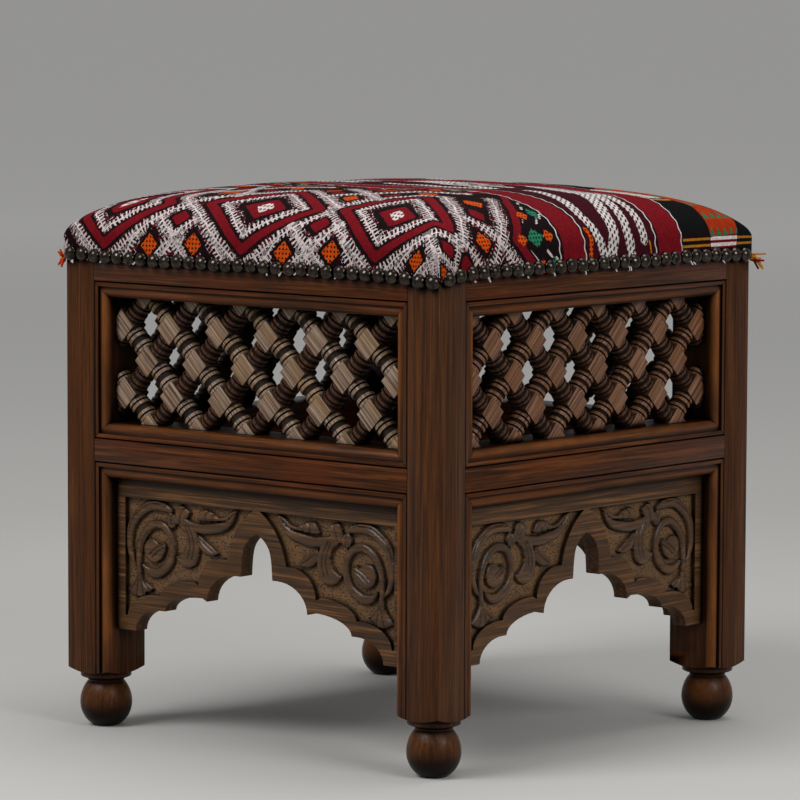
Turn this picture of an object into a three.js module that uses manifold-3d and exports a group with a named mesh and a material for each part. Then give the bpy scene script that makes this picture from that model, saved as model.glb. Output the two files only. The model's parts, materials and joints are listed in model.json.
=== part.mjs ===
// A kursi: a square low stool of four posts, eight rails, four turned lattice
// screens and four carved lobed arches, under a padded seat with a woven cover.
// Millimetres, +Z up, origin on the floor under the middle of the seat.
// The front faces -Y. Each side is drawn once in the front's place and turned.

import * as THREE from 'three';
import { mergeVertices } from 'three/addons/utils/BufferGeometryUtils.js';
import Module from 'manifold-3d';

// Stool
const stoolWidth = 400;
const frameHeight = 400;
const fitGap = 0.3;
const overrun = 2;

// Posts, square stock with a ball foot turned on the lower end
const postWidth = 45;
const arrisChamfer = 1;
const footFlatDiameter = 20;
const ballDiameter = 43;
const ballHeight = 37.5;
const ballCentreHeight = 19.5;
const neckDiameter = 29.5;
const collarDiameter = 42;
const collarTaper = 3.8;
const collarBand = 3.2;
const shoulderAngle = THREE.MathUtils.degToRad(23.5);
const turnedSides = 16;
const ballSteps = 6;

// Moulding worked on the inner arrises of the posts and rails
const mouldingWidth = 13.5;
const mouldingDepth = 7;
const grooveWidth = 1.6;
const grooveDepth = 1.8;
const filletWidth = 3;
const filletDrop = 0.4;
const quirkWidth = 1.2;
const quirkDepth = 2.6;
const beadCrestInset = 8.6;
const beadCrestDepth = 1.1;
const beadSteps = 4;

// Rails, as deep as the posts, tenoned into them behind mitred mouldings
const topRailHeight = 43;
const middleRailHeight = 45;
const windowHeight = 103;
const mitreLayer = 9;
const tenonInset = 16;
const tenonThickness = 10;
const tenonShoulder = 7.5;
const tenonEndWall = 2;

// Lattice screens of turned rods, halved together where they cross
const infillInset = 12.5;
const blockSide = 17.5;
const rodPitch = 37.5;
const rodSetback = 8.5;
const bobbinDiameter = 16.2;
const coveDiameter = 9.5;
const bobbinSides = 6;
const latticeShift = 10.5;
const latticeDrop = 20.5;
const fallingRodAngle = THREE.MathUtils.degToRad(135);

// Arch panels, held by a tongue in the posts and middle rails
const panelThickness = 14;
const panelHeight = 125.5;
const tongueThickness = 6;
const tongueLength = 5;
const tongueStop = 8;
const lancetHalfWidth = 16.8;
const lancetHeight = 35.5;
const firstLobeWidth = 37.3;
const firstLobeDrop = 24;
const secondLobeWidth = 46.7;
const secondLobeDrop = 12.3;
const secondLobeRise = 2.5;
const thirdLobeWidth = 33;
const thirdLobeDrop = 19.2;
const lobeStep = 5;
const lobeSteps = 4;
const archBorder = 12.5;
const fieldDepth = 2.6;
const fieldSideMargin = 9.5;
const fieldTopMargin = 15.5;
// Outline of the pointed top, as shares of its half width and height
const lancetShares = [[0, 1], [0.33, 0.92], [0.61, 0.8], [0.82, 0.64], [0.94, 0.38], [1, 0]];
// How far each cusp of the border moves out from the arch, as shares of its width
const borderSpreadShares = [1.2, 0.74, 0.4, 0.7];
const borderTipShare = 1.6;

// Seat: board, foam pad and woven cover nailed to the frame
const boardThickness = 8;
const boardInset = 2.5;
const coverThickness = 1.7;
const hemDrop = 16.5;
const coverEdgeRise = 5;
const crownRise = 44;
const coverCornerRadius = 2.3;
const drawnIn = 2.5;
const crownPower = 6;
const crownRoot = 0.556;
const cornerSoftness = 2;
const cornerLimitShare = 0.85;
const seatSideSteps = 8;
const seatCornerSteps = 3;
const seatRingShares = [1, 0.985, 0.955, 0.91, 0.85, 0.76, 0.64, 0.48, 0.28];

// Finishes
const stainedFrame = { color: '#4a2d1c', roughness: 0.45, metalness: 0 };
const stainedRods = { color: '#5a4230', roughness: 0.6, metalness: 0 };
const stainedCarving = { color: '#523824', roughness: 0.6, metalness: 0 };
const plywood = { color: '#b8976a', roughness: 0.8, metalness: 0 };
const foam = { color: '#d8cfa8', roughness: 0.95, metalness: 0 };
const kilim = { color: '#7a1a24', roughness: 0.95, metalness: 0 };

// Places worked out from the sizes
const halfWidth = stoolWidth / 2;
const faceY = -halfWidth;
const halfOpening = halfWidth - postWidth;
const faceWidth = postWidth - mouldingWidth;
const halfFlat = halfWidth - faceWidth;
const collarFloor = ballHeight + collarTaper;
const shoulderHeight = collarFloor + collarBand;
const topRailFloor = frameHeight - topRailHeight;
const middleRailTop = topRailFloor - windowHeight;
const middleRailFloor = middleRailTop - middleRailHeight;
const panelFoot = middleRailFloor - panelHeight;
const boardTop = frameHeight + fitGap + boardThickness;
const coverHem = frameHeight - hemDrop;
const tenonLength = postWidth - tenonInset - tenonThickness - tenonEndWall;
const tongueInset = infillInset + (panelThickness - tongueThickness) / 2;
const mitreGap = fitGap * Math.SQRT2;
const quarterTurn = Math.PI / 2;
const sideNames = ['front', 'right', 'back', 'left'];
const cornerNames = ['front_right', 'back_right', 'back_left', 'front_left'];

const wasm = await Module();
wasm.setup();

function toSolid(geometry) {
  const bare = geometry.clone();
  bare.deleteAttribute('normal');
  bare.deleteAttribute('uv');
  const merged = mergeVertices(bare);
  const vertProperties = new Float32Array(merged.attributes.position.array);
  const triVerts = new Uint32Array(merged.index.array);
  return new wasm.Manifold(new wasm.Mesh({ numProp: 3, vertProperties, triVerts }));
}

function toGeometry(solid) {
  const mesh = solid.getMesh();
  const geometry = new THREE.BufferGeometry();
  geometry.setAttribute('position', new THREE.BufferAttribute(mesh.vertProperties, mesh.numProp));
  geometry.setIndex(new THREE.BufferAttribute(mesh.triVerts, 1));
  const faceted = geometry.toNonIndexed();
  faceted.computeVertexNormals();
  return faceted;
}

function joined(geometries) {
  return geometries.map(toSolid).reduce((whole, piece) => whole.add(piece));
}

function extruded(points, length) {
  const shape = new THREE.Shape(points.map(([across, up]) => new THREE.Vector2(across, up)));
  return new THREE.ExtrudeGeometry(shape, { depth: length, bevelEnabled: false });
}

// A plan outline in X and Y, raised from one height to another
function column(points, floor, top) {
  return extruded(points, top - floor).translate(0, 0, floor);
}

// An outline in X and Z on the front, cut through from one depth to another
function slab(points, nearDepth, farDepth) {
  return extruded(points, farDepth - nearDepth).rotateX(quarterTurn).translate(0, faceY + farDepth, 0);
}

// A section in depth and Z on the front, run along X
function bar(points, fromX, toX) {
  const alongX = new THREE.Matrix4().makeBasis(
    new THREE.Vector3(0, 1, 0), new THREE.Vector3(0, 0, 1), new THREE.Vector3(1, 0, 0));
  return extruded(points, toX - fromX).applyMatrix4(alongX).translate(fromX, faceY, 0);
}

// A profile of radii and heights, turned about Z
function turned(points, sides) {
  const profile = points.map(([radius, up]) => new THREE.Vector2(radius, up));
  return new THREE.LatheGeometry(profile, sides).rotateX(quarterTurn);
}

function rectangle(left, right, floor, top) {
  return [[left, floor], [right, floor], [right, top], [left, top]];
}

function mirrored(points) {
  return points.map(([across, up]) => [-across, up]).reverse();
}

// Moulding section: distance from the flat towards the opening, and depth
function mouldingSection() {
  const filletEnd = grooveWidth + filletWidth;
  const points = [
    [0, 0],
    [grooveWidth / 2, grooveDepth],
    [grooveWidth, filletDrop],
    [filletEnd, filletDrop],
    [filletEnd, quirkDepth],
    [filletEnd + quirkWidth, quirkDepth],
  ];
  for (let step = 0; step <= beadSteps; step += 1) {
    const angle = quarterTurn * step / beadSteps;
    const across = beadCrestInset + (mouldingWidth - beadCrestInset) * Math.sin(angle);
    const depth = mouldingDepth - (mouldingDepth - beadCrestDepth) * Math.cos(angle);
    points.push([across, depth]);
  }
  return points;
}

const moulding = mouldingSection();

// Turned foot: ball, neck and collar, from the floor up
function footProfile() {
  const lowAngle = Math.asin(footFlatDiameter / ballDiameter);
  const highAngle = Math.PI - Math.asin(neckDiameter / ballDiameter);
  const lowRise = ballCentreHeight / Math.cos(lowAngle);
  const highRise = (ballCentreHeight - ballHeight) / Math.cos(highAngle);
  const points = [[0, 0]];
  for (let step = 0; step <= ballSteps; step += 1) {
    const angle = lowAngle + (highAngle - lowAngle) * step / ballSteps;
    const rise = angle < quarterTurn ? lowRise : highRise;
    points.push([ballDiameter / 2 * Math.sin(angle), ballCentreHeight - rise * Math.cos(angle)]);
  }
  points.push([collarDiameter / 2, collarFloor]);
  points.push([collarDiameter / 2, shoulderHeight + fitGap]);
  points.push([0, shoulderHeight + fitGap]);
  return points;
}

// Plan of the front right post, its outer corner cut by a small chamfer
function postPlan() {
  const frontEdge = moulding.map(([across, depth]) => [halfFlat - across, faceY + depth]);
  const sideEdge = moulding.map(([across, depth]) => [halfWidth - depth, across - halfFlat]);
  return [
    [halfWidth - arrisChamfer, faceY],
    [halfWidth, faceY + arrisChamfer],
    ...sideEdge,
    [halfOpening, -halfOpening],
    ...frontEdge.reverse(),
  ];
}

// Outline of the notch that a rail's face layer fills in a post, at the right end
function notchOutline(floor, top, mouldedTop) {
  const crown = mouldedTop
    ? [[halfFlat, top - mouldingWidth], [halfOpening - overrun, top + overrun]]
    : [[halfFlat, top + overrun], [halfOpening - overrun, top + overrun]];
  return [[halfOpening - overrun, floor - overrun], [halfFlat, floor + mouldingWidth], ...crown];
}

// All that the joints take out of a post at one end of a side, right end or left
function jointCuts(place) {
  const mortise = (floor, top) => slab(
    place(rectangle(
      halfOpening - overrun, halfOpening + tenonLength + fitGap,
      floor + tenonShoulder - fitGap, top - tenonShoulder + fitGap)),
    tenonInset - fitGap, tenonInset + tenonThickness + fitGap);
  const groove = slab(
    place(rectangle(
      halfOpening - overrun, halfOpening + tongueLength + fitGap,
      panelFoot + tongueStop - fitGap, middleRailFloor + tongueLength + fitGap)),
    tongueInset - fitGap, tongueInset + tongueThickness + fitGap);
  return [
    slab(place(notchOutline(middleRailFloor, middleRailTop, true)), -overrun, mitreLayer),
    slab(place(notchOutline(topRailFloor, frameHeight, false)), -overrun, mitreLayer),
    mortise(middleRailFloor, middleRailTop),
    mortise(topRailFloor, frameHeight),
    groove,
  ];
}

function makePost() {
  const centre = halfWidth - postWidth / 2;
  const rise = (postWidth - collarDiameter / 2) * Math.tan(shoulderAngle);
  const shoulder = turned([
    [0, shoulderHeight],
    [collarDiameter / 2, shoulderHeight],
    [postWidth, shoulderHeight + rise],
    [postWidth, frameHeight + overrun],
    [0, frameHeight + overrun],
  ], turnedSides).translate(centre, -centre, 0);
  const foot = turned(footProfile(), turnedSides).translate(centre, -centre, 0);
  const stock = column(postPlan(), shoulderHeight, frameHeight);
  const cuts = [
    ...jointCuts((points) => points),
    ...jointCuts(mirrored).map((cut) => cut.rotateZ(quarterTurn)),
  ];
  return toSolid(stock).intersect(toSolid(shoulder)).add(toSolid(foot)).subtract(joined(cuts));
}

// Section of a rail: the moulding on its lower arris, and on its upper one if asked
function railSection(floor, top, mouldedTop) {
  const lower = moulding.map(([across, depth]) => [depth, floor + mouldingWidth - across]);
  const upper = moulding.map(([across, depth]) => [depth, top - mouldingWidth + across]);
  const crown = mouldedTop ? upper.reverse() : [[0, top]];
  return [[postWidth, floor], [postWidth, top], ...crown, ...lower];
}

// Outline of the face layer of a rail, which ends in mitres beside the posts' mouldings
function railFace(floor, top, mouldedTop) {
  const inner = halfOpening - mitreGap;
  const outer = halfFlat - mitreGap;
  const crown = mouldedTop ? [[outer, top - mouldingWidth], [inner, top]] : [[outer, top]];
  const right = [[inner, floor], [outer, floor + mouldingWidth], ...crown];
  return [...right, ...mirrored(right)];
}

function makeRail(floor, top, mouldedTop) {
  const stock = bar(railSection(floor, top, mouldedTop), -halfFlat, halfFlat);
  const face = slab(railFace(floor, top, mouldedTop), -overrun, mitreLayer - fitGap);
  const shoulder = halfOpening - fitGap;
  const core = slab(
    rectangle(-shoulder, shoulder, floor - overrun, top + overrun), -overrun, postWidth + overrun);
  const tenonReach = halfOpening + tenonLength;
  const tenon = slab(
    rectangle(-tenonReach, tenonReach, floor + tenonShoulder, top - tenonShoulder),
    tenonInset, tenonInset + tenonThickness);
  return toSolid(stock).intersect(joined([face, core])).add(toSolid(tenon));
}

function makeMiddleRail() {
  const groove = slab(
    rectangle(-halfWidth, halfWidth, middleRailFloor - overrun, middleRailFloor + tongueLength + fitGap),
    tongueInset - fitGap, tongueInset + tongueThickness + fitGap);
  return makeRail(middleRailFloor, middleRailTop, true).subtract(toSolid(groove));
}

// A turned bobbin between two blocks, centred on the origin along Z
function makeBobbin() {
  const halfLength = (rodPitch - blockSide) / 2;
  const end = halfLength + fitGap;
  const radius = bobbinDiameter / 2;
  return turned([
    [0, -end],
    [radius, -end],
    [coveDiameter / 2, 0],
    [radius, end],
    [0, end],
  ], bobbinSides);
}

// One screen. Its front rods fall to the right where handed is 1, to the left where it is -1.
function makeLattice(handed) {
  const step = rodPitch / Math.SQRT2;
  const screenDepth = blockSide + rodSetback;
  const reach = halfOpening - fitGap;
  const floor = middleRailTop + fitGap;
  const top = topRailFloor - fitGap;
  const columns = Math.ceil(halfOpening / step) + 1;
  const rows = Math.ceil((top - floor) / step) + 1;
  const pieces = [];
  for (let row = -1; row <= rows; row += 1) {
    for (let place = -columns; place <= columns; place += 1) {
      if ((row + place) % 2 === 0) {
        const x = handed * (latticeShift + place * step);
        const z = topRailFloor - latticeDrop - row * step;
        const block = new THREE.BoxGeometry(blockSide, screenDepth, blockSide).rotateY(quarterTurn / 2);
        pieces.push(block.translate(x, faceY + infillInset + screenDepth / 2, z));
        for (const [layer, lean] of [[0, handed], [1, -handed]]) {
          const bobbin = makeBobbin().rotateY(lean * fallingRodAngle);
          const depth = infillInset + blockSide / 2 + layer * rodSetback;
          pieces.push(bobbin.translate(x + lean * step / 2, faceY + depth, z - step / 2));
        }
      }
    }
  }
  const near = pieces.filter((piece) => {
    piece.computeBoundingBox();
    const { min, max } = piece.boundingBox;
    return max.x > -reach && min.x < reach && max.z > floor && min.z < top;
  });
  const window = slab(
    rectangle(-reach, reach, floor, top), infillInset - overrun, infillInset + screenDepth + overrun);
  return joined(near).intersect(toSolid(window));
}

// One lobe of the arch, from its inner cusp out and down to the next
function lobe(startX, startZ, endX, endZ, rise) {
  const points = [[startX, startZ]];
  const crestX = startX + lobeStep;
  const crestZ = startZ + rise;
  for (let step = 0; step < lobeSteps; step += 1) {
    const angle = quarterTurn * step / lobeSteps;
    const x = crestX + (endX - crestX) * Math.sin(angle);
    points.push([x, endZ + (crestZ - endZ) * Math.cos(angle)]);
  }
  return points;
}

// Right half of the arch from its point to its foot, or of a line that far outside it
function archHalf(margin) {
  const spreads = borderSpreadShares.map((share) => share * margin);
  const [lancetSpread, firstSpread, secondSpread, footSpread] = spreads;
  const lancetX = lancetHalfWidth + lancetSpread;
  const firstX = lancetHalfWidth + firstLobeWidth + firstSpread;
  const secondX = lancetHalfWidth + firstLobeWidth + secondLobeWidth + secondSpread;
  const footX = lancetHalfWidth + firstLobeWidth + secondLobeWidth + thirdLobeWidth + footSpread;
  const footZ = panelFoot + margin;
  const secondZ = footZ + thirdLobeDrop;
  const firstZ = secondZ + secondLobeDrop;
  const lancetZ = firstZ + firstLobeDrop;
  const pointRise = lancetHeight + margin * (borderTipShare - 1);
  const lancet = lancetShares.slice(0, -1).map(
    ([across, up]) => [across * lancetX, lancetZ + up * pointRise]);
  return [
    ...lancet,
    ...lobe(lancetX, lancetZ, firstX, firstZ, 0),
    ...lobe(firstX, firstZ, secondX, secondZ, secondLobeRise),
    ...lobe(secondX, secondZ, footX, footZ, 0),
    [footX, footZ],
  ];
}

// Closed outline of the arch, or of a line outside it that meets the panel's sides
function archOutline(margin) {
  const right = archHalf(margin);
  const [footX, footZ] = right.at(-1);
  const sideX = margin > 0 ? halfOpening : footX;
  const half = [...right, [sideX, footZ], [sideX, panelFoot - overrun]];
  return [...half.slice(1), ...mirrored(half)];
}

function makeArchPanel() {
  const side = halfOpening - fitGap;
  const top = middleRailFloor - fitGap;
  const farDepth = infillInset + panelThickness;
  const board = slab(rectangle(-side, side, panelFoot, top), infillInset, farDepth);
  const tongue = slab(
    rectangle(
      -halfOpening - tongueLength, halfOpening + tongueLength,
      panelFoot + tongueStop, middleRailFloor + tongueLength),
    tongueInset, tongueInset + tongueThickness);
  const opening = slab(archOutline(0), infillInset - overrun, farDepth + overrun);
  const fieldHalf = halfOpening - fieldSideMargin;
  const field = slab(
    rectangle(-fieldHalf, fieldHalf, panelFoot, middleRailFloor - fieldTopMargin),
    infillInset - overrun, infillInset + fieldDepth);
  const border = slab(archOutline(archBorder), infillInset - overrun, farDepth);
  const carved = toSolid(field).subtract(toSolid(border));
  return joined([board, tongue]).subtract(toSolid(opening)).subtract(carved);
}

function makeBoard() {
  const edge = halfWidth - boardInset;
  const inner = edge - arrisChamfer;
  const corner = [[inner, -edge], [edge, -inner], [edge, inner], [inner, edge]];
  return toSolid(column([...corner, ...mirrored(corner)], frameHeight + fitGap, boardTop));
}

// One level ring of the seat: a square with rounded corners and drawn-in sides
function seatRing(reach, radius, pull, height) {
  const points = [];
  const straight = reach - radius;
  for (let side = 0; side < sideNames.length; side += 1) {
    const turn = quarterTurn * side;
    const place = (x, y) => new THREE.Vector3(x, y, height).applyAxisAngle(new THREE.Vector3(0, 0, 1), turn);
    for (let step = 0; step < seatSideSteps; step += 1) {
      const along = 2 * step / seatSideSteps - 1;
      points.push(place(reach - pull * (1 - along * along), along * straight));
    }
    for (let step = 0; step < seatCornerSteps; step += 1) {
      const angle = quarterTurn * step / seatCornerSteps;
      points.push(place(straight + radius * Math.cos(angle), straight + radius * Math.sin(angle)));
    }
  }
  return points;
}

// The seat's outer form, or that form drawn in by an inset, closed flat at the hem
function seatForm(inset, hem) {
  const reach = halfWidth + fitGap + coverThickness - inset;
  const radius = coverCornerRadius - Math.min(inset, coverThickness);
  const edge = frameHeight + coverEdgeRise;
  const rings = [seatRing(reach, radius, 0, hem)];
  for (const share of seatRingShares) {
    const span = reach * share;
    const softened = Math.min(radius + cornerSoftness * (reach - span), cornerLimitShare * span);
    const height = edge + (crownRise - inset) * (1 - share ** crownPower) ** crownRoot;
    rings.push(seatRing(span, softened, share < 1 ? drawnIn * share : 0, height));
  }
  const around = rings[0].length;
  const hemMiddle = new THREE.Vector3(0, 0, hem);
  const crownMiddle = new THREE.Vector3(0, 0, edge + crownRise - inset);
  const points = [...rings.flat(), hemMiddle, crownMiddle];
  const hemCentre = points.length - 2;
  const crown = points.length - 1;
  const triangles = [];
  for (let place = 0; place < around; place += 1) {
    const next = (place + 1) % around;
    triangles.push(hemCentre, next, place);
    for (let ring = 0; ring < rings.length - 1; ring += 1) {
      const low = ring * around;
      const high = low + around;
      triangles.push(low + place, low + next, high + next, low + place, high + next, high + place);
    }
    const last = (rings.length - 1) * around;
    triangles.push(last + place, last + next, crown);
  }
  const geometry = new THREE.BufferGeometry().setFromPoints(points);
  geometry.setIndex(triangles);
  return toSolid(geometry);
}

function makeCover() {
  return seatForm(0, coverHem).subtract(seatForm(coverThickness, coverHem - overrun));
}

function makePad() {
  const room = column(
    rectangle(-stoolWidth, stoolWidth, -stoolWidth, stoolWidth), boardTop + fitGap, boardTop + stoolWidth);
  return seatForm(coverThickness + fitGap, coverHem).intersect(toSolid(room));
}

function named(name, solid, finish, turns = 0) {
  const mesh = new THREE.Mesh(toGeometry(solid), new THREE.MeshStandardMaterial(finish));
  mesh.name = name;
  mesh.rotation.z = turns * quarterTurn;
  return mesh;
}

const post = makePost();
const topRail = makeRail(topRailFloor, frameHeight, false);
const middleRail = makeMiddleRail();
const archPanel = makeArchPanel();
const lattices = [makeLattice(1), makeLattice(-1)];

const stool = new THREE.Group();
cornerNames.forEach((corner, turns) => {
  stool.add(named(`post_${corner}`, post, stainedFrame, turns));
});
sideNames.forEach((side, turns) => {
  stool.add(named(`top_rail_${side}`, topRail, stainedFrame, turns));
  stool.add(named(`middle_rail_${side}`, middleRail, stainedFrame, turns));
  stool.add(named(`lattice_screen_${side}`, lattices[turns % 2], stainedRods, turns));
  stool.add(named(`arch_panel_${side}`, archPanel, stainedCarving, turns));
});
stool.add(named('seat_board', makeBoard(), plywood));
stool.add(named('seat_pad', makePad(), foam));
stool.add(named('seat_cover', makeCover(), kilim));

export default stool;
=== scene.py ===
# %% [markdown]
# # A kursi stool, dressed for its picture
# A kursi is a low square stool. This one has four posts on turned ball feet, eight
# moulded rails, four screens of turned rods, four carved lobed arches and a padded
# seat under a nailed kilim. The sizes come from a CAD model, which is loaded here as
# a fixed frame in metres. Each piece is then modelled again with the detail that a
# close look shows, in exactly the place where the CAD piece stands.

# %% Load the frame
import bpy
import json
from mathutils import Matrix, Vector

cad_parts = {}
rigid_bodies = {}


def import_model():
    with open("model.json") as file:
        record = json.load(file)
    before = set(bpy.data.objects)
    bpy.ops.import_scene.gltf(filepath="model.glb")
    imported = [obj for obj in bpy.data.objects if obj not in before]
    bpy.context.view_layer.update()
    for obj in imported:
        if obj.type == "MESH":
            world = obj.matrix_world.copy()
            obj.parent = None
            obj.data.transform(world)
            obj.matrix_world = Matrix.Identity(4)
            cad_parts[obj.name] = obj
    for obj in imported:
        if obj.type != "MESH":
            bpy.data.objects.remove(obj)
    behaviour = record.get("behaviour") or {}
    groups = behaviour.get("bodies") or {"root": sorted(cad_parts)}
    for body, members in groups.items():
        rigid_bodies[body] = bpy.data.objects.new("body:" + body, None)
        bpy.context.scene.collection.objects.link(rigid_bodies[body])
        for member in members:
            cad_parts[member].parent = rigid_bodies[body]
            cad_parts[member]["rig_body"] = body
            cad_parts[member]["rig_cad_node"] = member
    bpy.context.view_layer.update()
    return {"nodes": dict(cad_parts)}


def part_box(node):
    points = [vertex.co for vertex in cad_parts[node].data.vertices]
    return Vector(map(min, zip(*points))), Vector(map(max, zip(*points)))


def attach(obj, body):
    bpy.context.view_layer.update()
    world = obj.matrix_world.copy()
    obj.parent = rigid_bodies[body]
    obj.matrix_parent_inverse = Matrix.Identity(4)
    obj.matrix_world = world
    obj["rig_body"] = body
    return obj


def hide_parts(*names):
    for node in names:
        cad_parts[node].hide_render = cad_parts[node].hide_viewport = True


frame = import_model()
print("CAD nodes:", len(frame["nodes"]))

# %% Tools used throughout
import json
import math
from functools import partial

import bpy
import numpy as np
from mathutils import Matrix, Vector

MM = 0.001
QUARTER = math.pi / 2
SIDES = ("front", "right", "back", "left")
CORNERS = ("front_right", "back_right", "back_left", "front_left")
print("a quarter turn is", round(QUARTER, 3), "radians")

# %% [markdown]
# ## The sizes that everything stands on
# A piece of furniture is drawn from a few sizes. They are the CAD model's own, in
# millimetres, and every outline below is worked out from them. Depth is measured
# inwards from the face of the frame, which lies at y = -200 on the front.

# %% Sizes in millimetres
HALF = 200
POST = 45
FRAME_TOP = 400
TOP_RAIL_FLOOR = 357
MIDDLE_RAIL_TOP = 254
MIDDLE_RAIL_FLOOR = 209
PANEL_FOOT = 83.5
INFILL = 12.5
OPENING = HALF - POST
SHOULDER = 44.5
print("opening", 2 * OPENING, "mm wide between the posts")

# %% [markdown]
# ## The camera
# The photograph was taken from well back with a long lens, a little above the seat
# and turned about 40 degrees from the front. The stool's own straight edges gave the
# camera's place, so it is set by numbers and not by eye.

# %% Camera
LENS = 195.0
CAMERA_PLACE = Vector((2315.4, -2717.1, 616.45)) * MM
AZIMUTH, PITCH, ROLL = (math.radians(angle) for angle in (40.56, 5.56, 0.193))
bpy.ops.object.camera_add(location=CAMERA_PLACE)
camera = bpy.context.object
camera.name = "photo_camera"
camera.rotation_euler = (
    Matrix.Rotation(AZIMUTH, 3, "Z")
    @ Matrix.Rotation(QUARTER - PITCH, 3, "X")
    @ Matrix.Rotation(ROLL, 3, "Z")
).to_euler()
camera.data.lens = LENS
camera.data.sensor_width = 36
camera.data.clip_start = 0.1
camera.data.clip_end = 500
bpy.context.scene.camera = camera
print("camera", tuple(round(c, 3) for c in camera.location))

# %% [markdown]
# ## Building a finish from nodes
# A finish is a small network of shader nodes that ends in one Principled shader. One
# function adds a node of any kind with its settings and what flows into it, so each
# finish below reads as a list of steps.

# %% Colours, nodes and materials
def linear(hex_colour):
    """An sRGB hex value as the linear colour that a shader works in."""
    parts = [int(hex_colour[at:at + 2], 16) / 255 for at in (1, 3, 5)]
    return (*(c / 12.92 if c <= 0.04045 else ((c + 0.055) / 1.055) ** 2.4 for c in parts), 1.0)


def fill(node, inputs):
    """Sets inputs by name or number: a socket is linked, and any other value written."""
    for name, value in (inputs.items() if isinstance(inputs, dict) else enumerate(inputs)):
        if isinstance(value, bpy.types.NodeSocket):
            node.id_data.links.new(value, node.inputs[name])
        elif value is not None:
            node.inputs[name].default_value = value


def add_node(tree, kind, inputs=(), out=0, stops=(), **settings):
    """Adds a shader node with its settings, a ramp's stops and its inputs. It gives the
    output that is asked for, or the node itself where out is None."""
    made = tree.nodes.new("ShaderNode" + kind)
    for name, value in settings.items():
        setattr(made, name, value)
    for place, (at, hex_colour) in enumerate(stops):
        elements = made.color_ramp.elements
        element = elements[place] if place < 2 else elements.new(at)
        element.position = at
        element.color = linear(hex_colour)
    fill(made, inputs)
    return made if out is None else made.outputs[out]


def new_material(name):
    """An empty material, a function that adds a node to it, and its Principled shader."""
    material = bpy.data.materials.new(name)
    material.use_nodes = True
    material.node_tree.nodes.clear()
    add = partial(add_node, material.node_tree)
    shader = add("BsdfPrincipled", out=None)
    add("OutputMaterial", [shader.outputs[0]], out=None)
    return material, add, shader


print("pure white in a shader:", linear("#ffffff"))

# %% [markdown]
# ## Light and floor
# A plain pale floor and large soft lamps, as in a small studio. The key lamp stands
# high before the front, a smaller one lights the right side, a third lights the seat
# from above, and the world fills the shadows. The floor runs so far back that no edge
# of it shows. The view transform is Standard, which leaves colours as they are written.

# %% Floor and backdrop
studio_white, add, shader = new_material("pale_studio_floor")
# The camera and the gloss of metal see a pale floor, but the light that it throws back
# on the stool is a grey floor's, so that the shaded undersides stay dark.
seen = add("LightPath", out=None).outputs
seen_directly = add("Math", [seen["Is Camera Ray"], seen["Is Glossy Ray"]], operation="MAXIMUM")
seen_at_all = add("Math", [seen_directly, seen["Is Transmission Ray"]], operation="MAXIMUM")
# The lamps don't reach the distance, so the floor is painted lighter there.
away = add("VectorMath", [add("TexCoord", out="Object")], out="Value", operation="LENGTH")
far_share = add("MapRange", [away, 1.5, 7.0])
floor_colour = linear("#b9b8b5")
for share, near, far in ((far_share, floor_colour, linear("#f6f5f3")),
                         (seen_at_all, linear("#77756f"), None)):
    floor_colour = add("Mix", {0: share, 6: near, 7: far or floor_colour}, 2, data_type="RGBA")
fill(shader, {"Base Color": floor_colour, "Roughness": 0.9})

bpy.ops.object.select_all(action="DESELECT")
bpy.ops.mesh.primitive_plane_add(size=400)
floor = bpy.context.object
floor.name = "studio_floor"
floor.data.materials.append(studio_white)

world = bpy.data.worlds.new("studio_world")
bpy.context.scene.world = world
world.use_nodes = True
fill(world.node_tree.nodes["Background"], [linear("#f2f2f2"), 0.36])
bpy.context.scene.view_settings.view_transform = "Standard"
print("floor and world made")

# %% Lamps
AIM = Vector((0, 0, 0.22))
LAMPS = (
    ("key_lamp", (-0.6, -2.3, 2.6), 1.5, 62.0),
    ("side_lamp", (2.7, -0.4, 1.7), 1.3, 34.0),
    ("top_lamp", (0.3, 0.5, 3.0), 1.6, 26.0),
)
for name, place, size, power in LAMPS:
    bpy.ops.object.light_add(type="AREA", location=place)
    lamp = bpy.context.object
    lamp.name = name
    lamp.data.size = size
    lamp.data.energy = power
    lamp.rotation_euler = (AIM - Vector(place)).to_track_quat("-Z", "Y").to_euler()
print("lamps:", len(LAMPS))

# %% [markdown]
# ## Stained softwood
# The frame is pine under a dark walnut stain and a little wax. A stain sinks deeper
# into the soft early wood, so the growth rings show as streaks along the board, and
# the wax gives a satin sheen that breaks up over them. Every wooden piece carries an
# attribute named grain, a place in its own board with the grain along its first
# axis, so the figure runs along posts and rails alike and differs from board to board.

# %% Wood material
# How often each part of the figure comes along and across the grain, then its detail,
# roughness and distortion: growth rings some 4 mm apart, drawn out thirty times along
# the board; the late wood of each ring, in lines 1.2 mm apart; single fibres and pores
# of about 0.5 mm; and blotches some 60 mm long, where the stain took unevenly.
FIGURE = ((8.0, 260.0, 3.0, 0.55, 0.6), (16.0, 820.0, 2.0, 0.5, 0.0),
          (70.0, 1900.0, 2.0, 0.6, 0.0), (13.0, 34.0, 2.0, 0.5, 0.0))
BARE_LIP = "#8a5226"


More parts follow.
